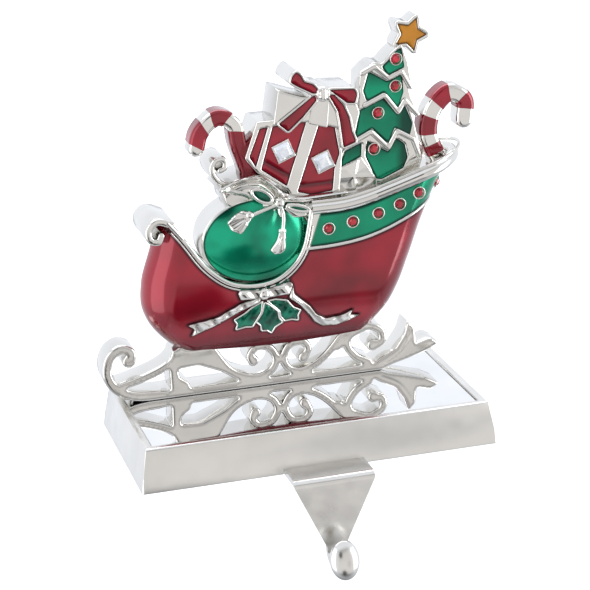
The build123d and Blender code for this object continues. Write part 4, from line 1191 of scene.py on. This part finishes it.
# Tree, star and candy canes
tree = {
    "outline": [
        (54.5, 160.5), (57.6, 152), (59.4, 141.4), (57, 144), (58.5, 138), (62.2, 129), (58.6, 131.5),
        (60.4, 124), (63.2, 110.4), (60, 100), (42, 100), (39, 104), (36, 111), (25.6, 109.6), (28.5, 118),
        (29.6, 118.6), (32.8, 124), (35.6, 135), (36.2, 149), (42, 153.7), (46, 152.8), (50, 157)],
    "cells": [
        [(46, 151.5), (49, 154), (52.5, 158), (54.5, 158.5), (55.5, 150.5), (53.5, 150), (48.4, 148)],
        [(40, 150), (37.5, 142), (39, 137.8), (46.5, 141), (52.5, 133.6), (55, 140), (54.5, 147.5),
         (48, 145)],
        [(36, 134), (33.5, 122.5), (41, 126), (48, 119), (51, 125.4), (57.6, 121.4), (58.8, 126), (55.8, 134),
         (52.6, 130.4), (46.2, 138)],
        [(29, 117), (26.5, 110.5), (36, 114.5), (36.5, 120)],
        [(39.0, 120.4), (38.0, 114.2), (42.6, 104), (45, 103.5), (54.6, 107.4), (56.6, 111.8), (55.4, 117.6),
         (51.8, 120.4), (48, 114.8)]],
    "zigzags": [
        [(37, 149.5), (42.5, 152), (48.5, 146.5), (54, 149), (58, 142)],
        [(38, 136), (46.5, 139.6), (52.5, 131.8), (55.5, 136.5), (61, 130)],
        [(31, 120), (40.5, 124.4), (48, 116.8), (52, 123.6), (59, 119.5), (62, 111.5)]],
    "half": 6.5, "zigzagWidth": 2.3, "zigzagRise": 1.2, "zigzagSink": 1.4, "zigzagRounding": 0.9,
    "enamelRise": 0.3, "enamelSwell": 0.15, "lean": 1.2, "corner": 0.9, "cellCorner": 0.6, "zigzagPad": 3,
    "shade": 0.8, "shadeDrop": 7.0, "shadeFrom": 51.0, "shadeRun": 3.5, "shadeBelow": 140.0,
}
treeHalf = tree["half"]
treeCells = [roundLoop(cell, tree["cellCorner"], step=0.4) for cell in tree["cells"]]
treeSolids = celledPlate([roundLoop(tree["outline"], tree["corner"])], treeCells, treeHalf, treeHalf)
for path in tree["zigzags"]:
    low, high = np.min(path, axis=0) - tree["zigzagPad"], np.max(path, axis=0) + tree["zigzagPad"]
    stroke = strokeField(resample(path, 0.5, False), tree["zigzagWidth"])
    band = fieldLoops(stroke, low, high, step=0.3, smooth=1)
    treeSolids.append(slab(band, level(treeHalf + tree["zigzagRise"], tree["zigzagRounding"]),
                           flatAt(treeHalf - tree["zigzagSink"]), tree["zigzagRounding"], 0.6))
castPiece("treeCasting", treeSolids)


def tierShade(p, d):               # dark under the garland above and towards the right
    x, z = p.T
    under = np.clip((z - z.max() + tree["shadeDrop"]) / tree["shadeDrop"], 0, 1)
    aside = np.clip((x - tree["shadeFrom"]) / tree["shadeRun"], 0, 1) * (z.max() < tree["shadeBelow"])
    return tree["shade"] * np.maximum(under, aside)


def tierFront(p, d):               # each tier leans out towards its foot
    z = p[:, 1]
    swell = tree["enamelSwell"] * (1 - np.exp(-d))
    return treeHalf - cellDepth + tree["enamelRise"] + swell + tree["lean"] * (z.max() - z) / np.ptp(z)


fillCells("treeGreenEnamel", treeCells, tierFront, treeHalf, 0.8, greenEnamel,
          "tree_green_enamel", tierShade)
star = {"center": (59.0, 163.65), "tip": 7.45, "valley": 3.95, "turn": 67.0, "margin": 1.3, "half": 5.0,
        "corner": 0.35, "rounding": 0.45, "enamelRise": 0.7, "enamelReach": 0.9}
starPoints = []
for k in range(10):
    reach = star["tip"] if k % 2 == 0 else star["valley"]
    angle = math.radians(star["turn"] + 36 * k)
    starPoints.append((reach * math.cos(angle), reach * math.sin(angle)))
starCell = roundLoop(np.array(star["center"]) + starPoints, star["corner"], step=0.35)
starOutline = grownLoops([starCell], star["margin"])
starHalf = star["half"]
castPiece("starCasting", celledPlate(starOutline, [starCell], starHalf, starHalf, star["rounding"]))
fillCells("starAmberEnamel", [starCell], pool(starHalf - cellDepth, star["enamelRise"], star["enamelReach"]),
          starHalf, 0.7, amberEnamel, "star_yellow_enamel")
canes = {
    "left": {"path": [(-34.0, 123.6), (-31.6, 130.4), (-24.8, 135.8), (-17.8, 132.6), (-15.9, 123.5),
                      (-11.7, 110.5)],
             "stripes": [(0.02, 0.2), (0.29, 0.43), (0.575, 0.98)], "width": 6.5, "skew": 2.0},
    "right": {"path": [(72.0, 108.4), (67.2, 119.5), (69.2, 130), (76.4, 137), (83.3, 133.2), (83.2, 124.8)],
              "stripes": [(0.07, 0.16), (0.25, 0.4), (0.52, 0.66), (0.79, 0.9)], "width": 7.5, "skew": 0.6},
}
caneForm = {"half": 4.8, "rounding": 1.6, "skin": 0.28, "sink": -0.5, "skewWidth": 3.5}


def caneSection(width, skin, count=22):   # step across the cane and depth, from the back round the front
    w, h, r = width / 2 + skin, caneForm["half"] + skin, caneForm["rounding"] + skin
    pts = [(-w, -h + r)]
    for start, cx in ((180, -w + r), (90, w - r)):
        for a in np.radians(np.linspace(start, start - 90, 10)):
            pts.append((cx + r * math.cos(a), h - r + r * math.sin(a)))
    pts.append((w, -h + r))
    length = np.linalg.norm(np.diff(pts, axis=0), axis=1).sum()
    return resample(pts, length / count, False)


def caneGrid(path, span, section, skew):
    length = len(path) - 1
    share = np.linspace(*span, max(int((span[1] - span[0]) * length), 6))
    grid = np.zeros((len(section), len(share), 3))
    for r, (side, depth) in enumerate(section):
        at = np.clip(share * length + skew * side / caneForm["skewWidth"], 0, length)
        x, z, tx, tz = [np.interp(at, np.arange(length + 1), row) for row in (*path.T, *pathRun(path).T)]
        grid[r] = np.column_stack([x - tz * side, np.full(len(share), figureY - depth), z + tx * side])
    return grid


for side, cane in canes.items():
    path = smoothPath(cane["path"])
    loops = fieldLoops(strokeField(path, cane["width"]), path.min(0) - 6, path.max(0) + 6)
    castPiece(side + "Cane", [evenPlate(loops, caneForm["half"], caneForm["rounding"])])
    outside, inside = [caneSection(cane["width"], caneForm[skin]) for skin in ("skin", "sink")]
    stripes = [sheet(caneGrid(path, span, outside, cane["skew"]), caneGrid(path, span, inside, cane["skew"]))
               for span in cane["stripes"]]
    newPiece(side + "CaneStripes", stripes, redEnamel, [side + "_cane_red_enamel"])
print("tree, star and canes ready")

# Round stones in bezels: along the band, round its end and on the tree
stones = {
    "radius": 2.3, "rise": 1.8, "sink": 0.2, "bezelMargin": 0.2, "bezelLift": 1.0,
    "bezel": {"band": 0.28, "tree": 0.2},
    "band": [(19, 86.4), (29.6, 88.3), (41, 90.7), (50.5, 93.6), (59.2, 97.6)],
    "end": (69.6, 99.2), "endAngle": 72.0, "endLean": 22.0,
    "tree": [(51.7, 154.4), (51.3, 143), (43.5, 132.3), (41.5, 117)],
}


def seatMesh(name, seats, lift):
    mesh = bpy.data.meshes.new(name)
    mesh.from_pydata([tuple(mm * (c + lift * f) for c, f in zip(*seat)) for seat in seats], [], [])
    layer = mesh.attributes.new("facing", "FLOAT_VECTOR", "POINT")
    layer.data.foreach_set("vector", np.array([seat[1] for seat in seats], np.float32).ravel())
    return mesh


turn, lean = math.radians(stones["endAngle"]), math.radians(stones["endLean"])
endFacing = (math.sin(turn) * math.cos(lean), -math.cos(turn) * math.cos(lean), -math.sin(lean))
hullHalf = stations[-1, 3]
endSeat = ((stones["end"][0], figureY - hullHalf * math.cos(turn), stones["end"][1]), endFacing)
for group, half, extra in (("band", hullHalf, [endSeat]), ("tree", treeHalf, [])):
    seats = [((x, figureY - half, z), (0, -1, 0)) for x, z in stones[group]] + extra
    ring = growMesh(seatMesh(group + "Seats", seats, stones["bezelLift"]), bezelSetting,
                    {"Radius": (stones["radius"] + stones["bezelMargin"]) * mm,
                     "Rise": stones["bezel"][group] * mm, "Finish": nickel})
    keepPiece(group + "Bezels", ring, nickel, ["figure_casting"])
    cut = growMesh(seatMesh(group + "Seats", seats, stones["sink"]), stoneSetting,
                   {"Radius": stones["radius"] * mm, "Rise": stones["rise"] * mm, "Finish": redStone})
    keepPiece(group + "Stones", cut, redStone, [group + "_stones"])
print("stones ready")

# Camera at the photograph's place and angle
view = {"lookAt": (1.01, 0.0, 62.1), "azimuth": -15.93, "elevation": 18.99, "roll": -1.72, "distance": 839.11,
        "focalPixels": 2018.43, "framePixels": 590.0, "sensor": 36.0}
camera = newObject("photoCamera", bpy.data.cameras.new("photoCamera"))
camera.data.sensor_fit = "HORIZONTAL"
camera.data.sensor_width = view["sensor"]
camera.data.lens = view["focalPixels"] / view["framePixels"] * view["sensor"]
az, el, roll = (math.radians(view[k]) for k in ("azimuth", "elevation", "roll"))
back = Vector((math.sin(az) * math.cos(el), -math.cos(az) * math.cos(el), math.sin(el)))
right = Vector((math.cos(az), math.sin(az), 0.0))
up = back.cross(right)
right, up = right * math.cos(roll) + up * math.sin(roll), up * math.cos(roll) - right * math.sin(roll)
turned = Matrix((right, up, back)).transposed().to_4x4()
camera.matrix_world = Matrix.Translation((Vector(view["lookAt"]) + back * view["distance"]) * mm) @ turned
camera.data.clip_end = 20.0
bpy.context.scene.camera = camera

# Pale floor well below the hook, and a soft studio all round
studio = {
    "floorDrop": 0.10, "floorSize": 6.0, "sky": 1.0,
    "lights": [("leftSoftbox", (-0.95, -0.35, 0.15), (0, 0.02, 0.08), (0.85, 1.5), 4.5),
               ("rightSoftbox", (0.90, -0.50, 0.05), (0, 0.02, 0.08), (0.5, 0.9), 5.0),
               ("floorWash", (0.0, 1.1, 1.6), (0, 0.9, -0.14), (2.4, 1.4), 26.0)],
}
floorMesh = bpy.data.meshes.new("floor")
reach, drop = studio["floorSize"] / 2, cadBox[0].z - studio["floorDrop"]
floorCorners = [(sx * reach, sy * reach, drop) for sx, sy in ((-1, -1), (1, -1), (1, 1), (-1, 1))]
floorMesh.from_pydata(floorCorners, [], [(0, 1, 2, 3)])
floor = newObject("floor", floorMesh)
floorMesh.materials.append(plainFinish("paleFloor", (0.94, 0.94, 0.94), (0.92, 0.92, 0.92), 0.9, 3.0, 0.0))
floor.visible_glossy = False       # the plating reflects the studio, not the floor

# Sky: pale all round, and in front a stack of grey, dark and white bands for the plating to reflect
sky = {
    "front": [(-1.0, 0.2), (-0.85, 0.1), (-0.55, 0.12), (-0.47, 0.8), (-0.33, 0.86), (-0.02, 0.87),
              (0.2, 0.8), (0.5, 0.76), (0.6, 0.34), (0.68, 0.3), (0.75, 0.95), (1.0, 1.0)],
    "around": [(-1.0, 0.35), (-0.5, 0.9), (-0.3, 1.06), (0.2, 1.08), (1.0, 0.98)],
    "frontTint": (1.0, 0.985, 0.98), "aroundTint": (0.94, 0.975, 1.04), "aim": (0.12, -0.99, 0.0),
    "aimSpan": (0.45, 0.85),
    "cards": [((0.0, -0.883, -0.470), (0.972, 0.990), 0.05), ((-0.20, -0.87, 0.45), (0.984, 0.989), 0.05),
              ((0.407, -0.914, 0.0), (0.982, 0.998), 0.66)],
}


def buildSky():
    world = bpy.data.worlds.new("softStudio")
    bpy.context.scene.world = world
    world.use_nodes = True
    graph = world.node_tree
    place = graph.nodes.new("ShaderNodeTexCoord").outputs["Generated"]
    split = addNode(graph, "ShaderNodeSeparateXYZ", {0: place})
    height = addRange(graph, split.outputs["Z"], (-1.0, 1.0))

    def bands(stops, tint):
        node = addNode(graph, "ShaderNodeValToRGB", {"Fac": height})
        elements = node.color_ramp.elements
        while len(elements) < len(stops):
            elements.new(0.5)
        for element, (z, bright) in zip(elements, stops):
            element.position = (z + 1) / 2
        for element, (z, bright) in zip(elements, stops):
            element.color = (*(bright * c for c in tint), 1.0)
        return node.outputs["Color"]

    def toward(aim, span):
        ends = {0: place, 1: Vector(aim).normalized()}
        facing = addNode(graph, "ShaderNodeVectorMath", ends, operation="DOT_PRODUCT")
        return addRange(graph, facing.outputs["Value"], span)

    colour = addMix(graph, toward(sky["aim"], sky["aimSpan"]), bands(sky["around"], sky["aroundTint"]),
                    bands(sky["front"], sky["frontTint"]))
    for aim, span, bright in sky["cards"]:        # darker cards, for the deep patches in enamel and metal
        colour = addMix(graph, toward(aim, span), colour, (bright,) * 3)
    feed(graph, graph.nodes["Background"], {"Color": colour, "Strength": studio["sky"]})


buildSky()
for name, place, aim, extent, power in studio["lights"]:
    lamp = bpy.data.lights.new(name, "AREA")
    lamp.shape = "RECTANGLE"
    lamp.size, lamp.size_y = extent
    lamp.energy = power
    light = newObject(name, lamp)
    light.location = place
    light.rotation_mode = "QUATERNION"
    light.rotation_quaternion = (Vector(aim) - Vector(place)).to_track_quat("-Z", "Y")
bpy.context.scene.view_settings.view_transform = "Standard"
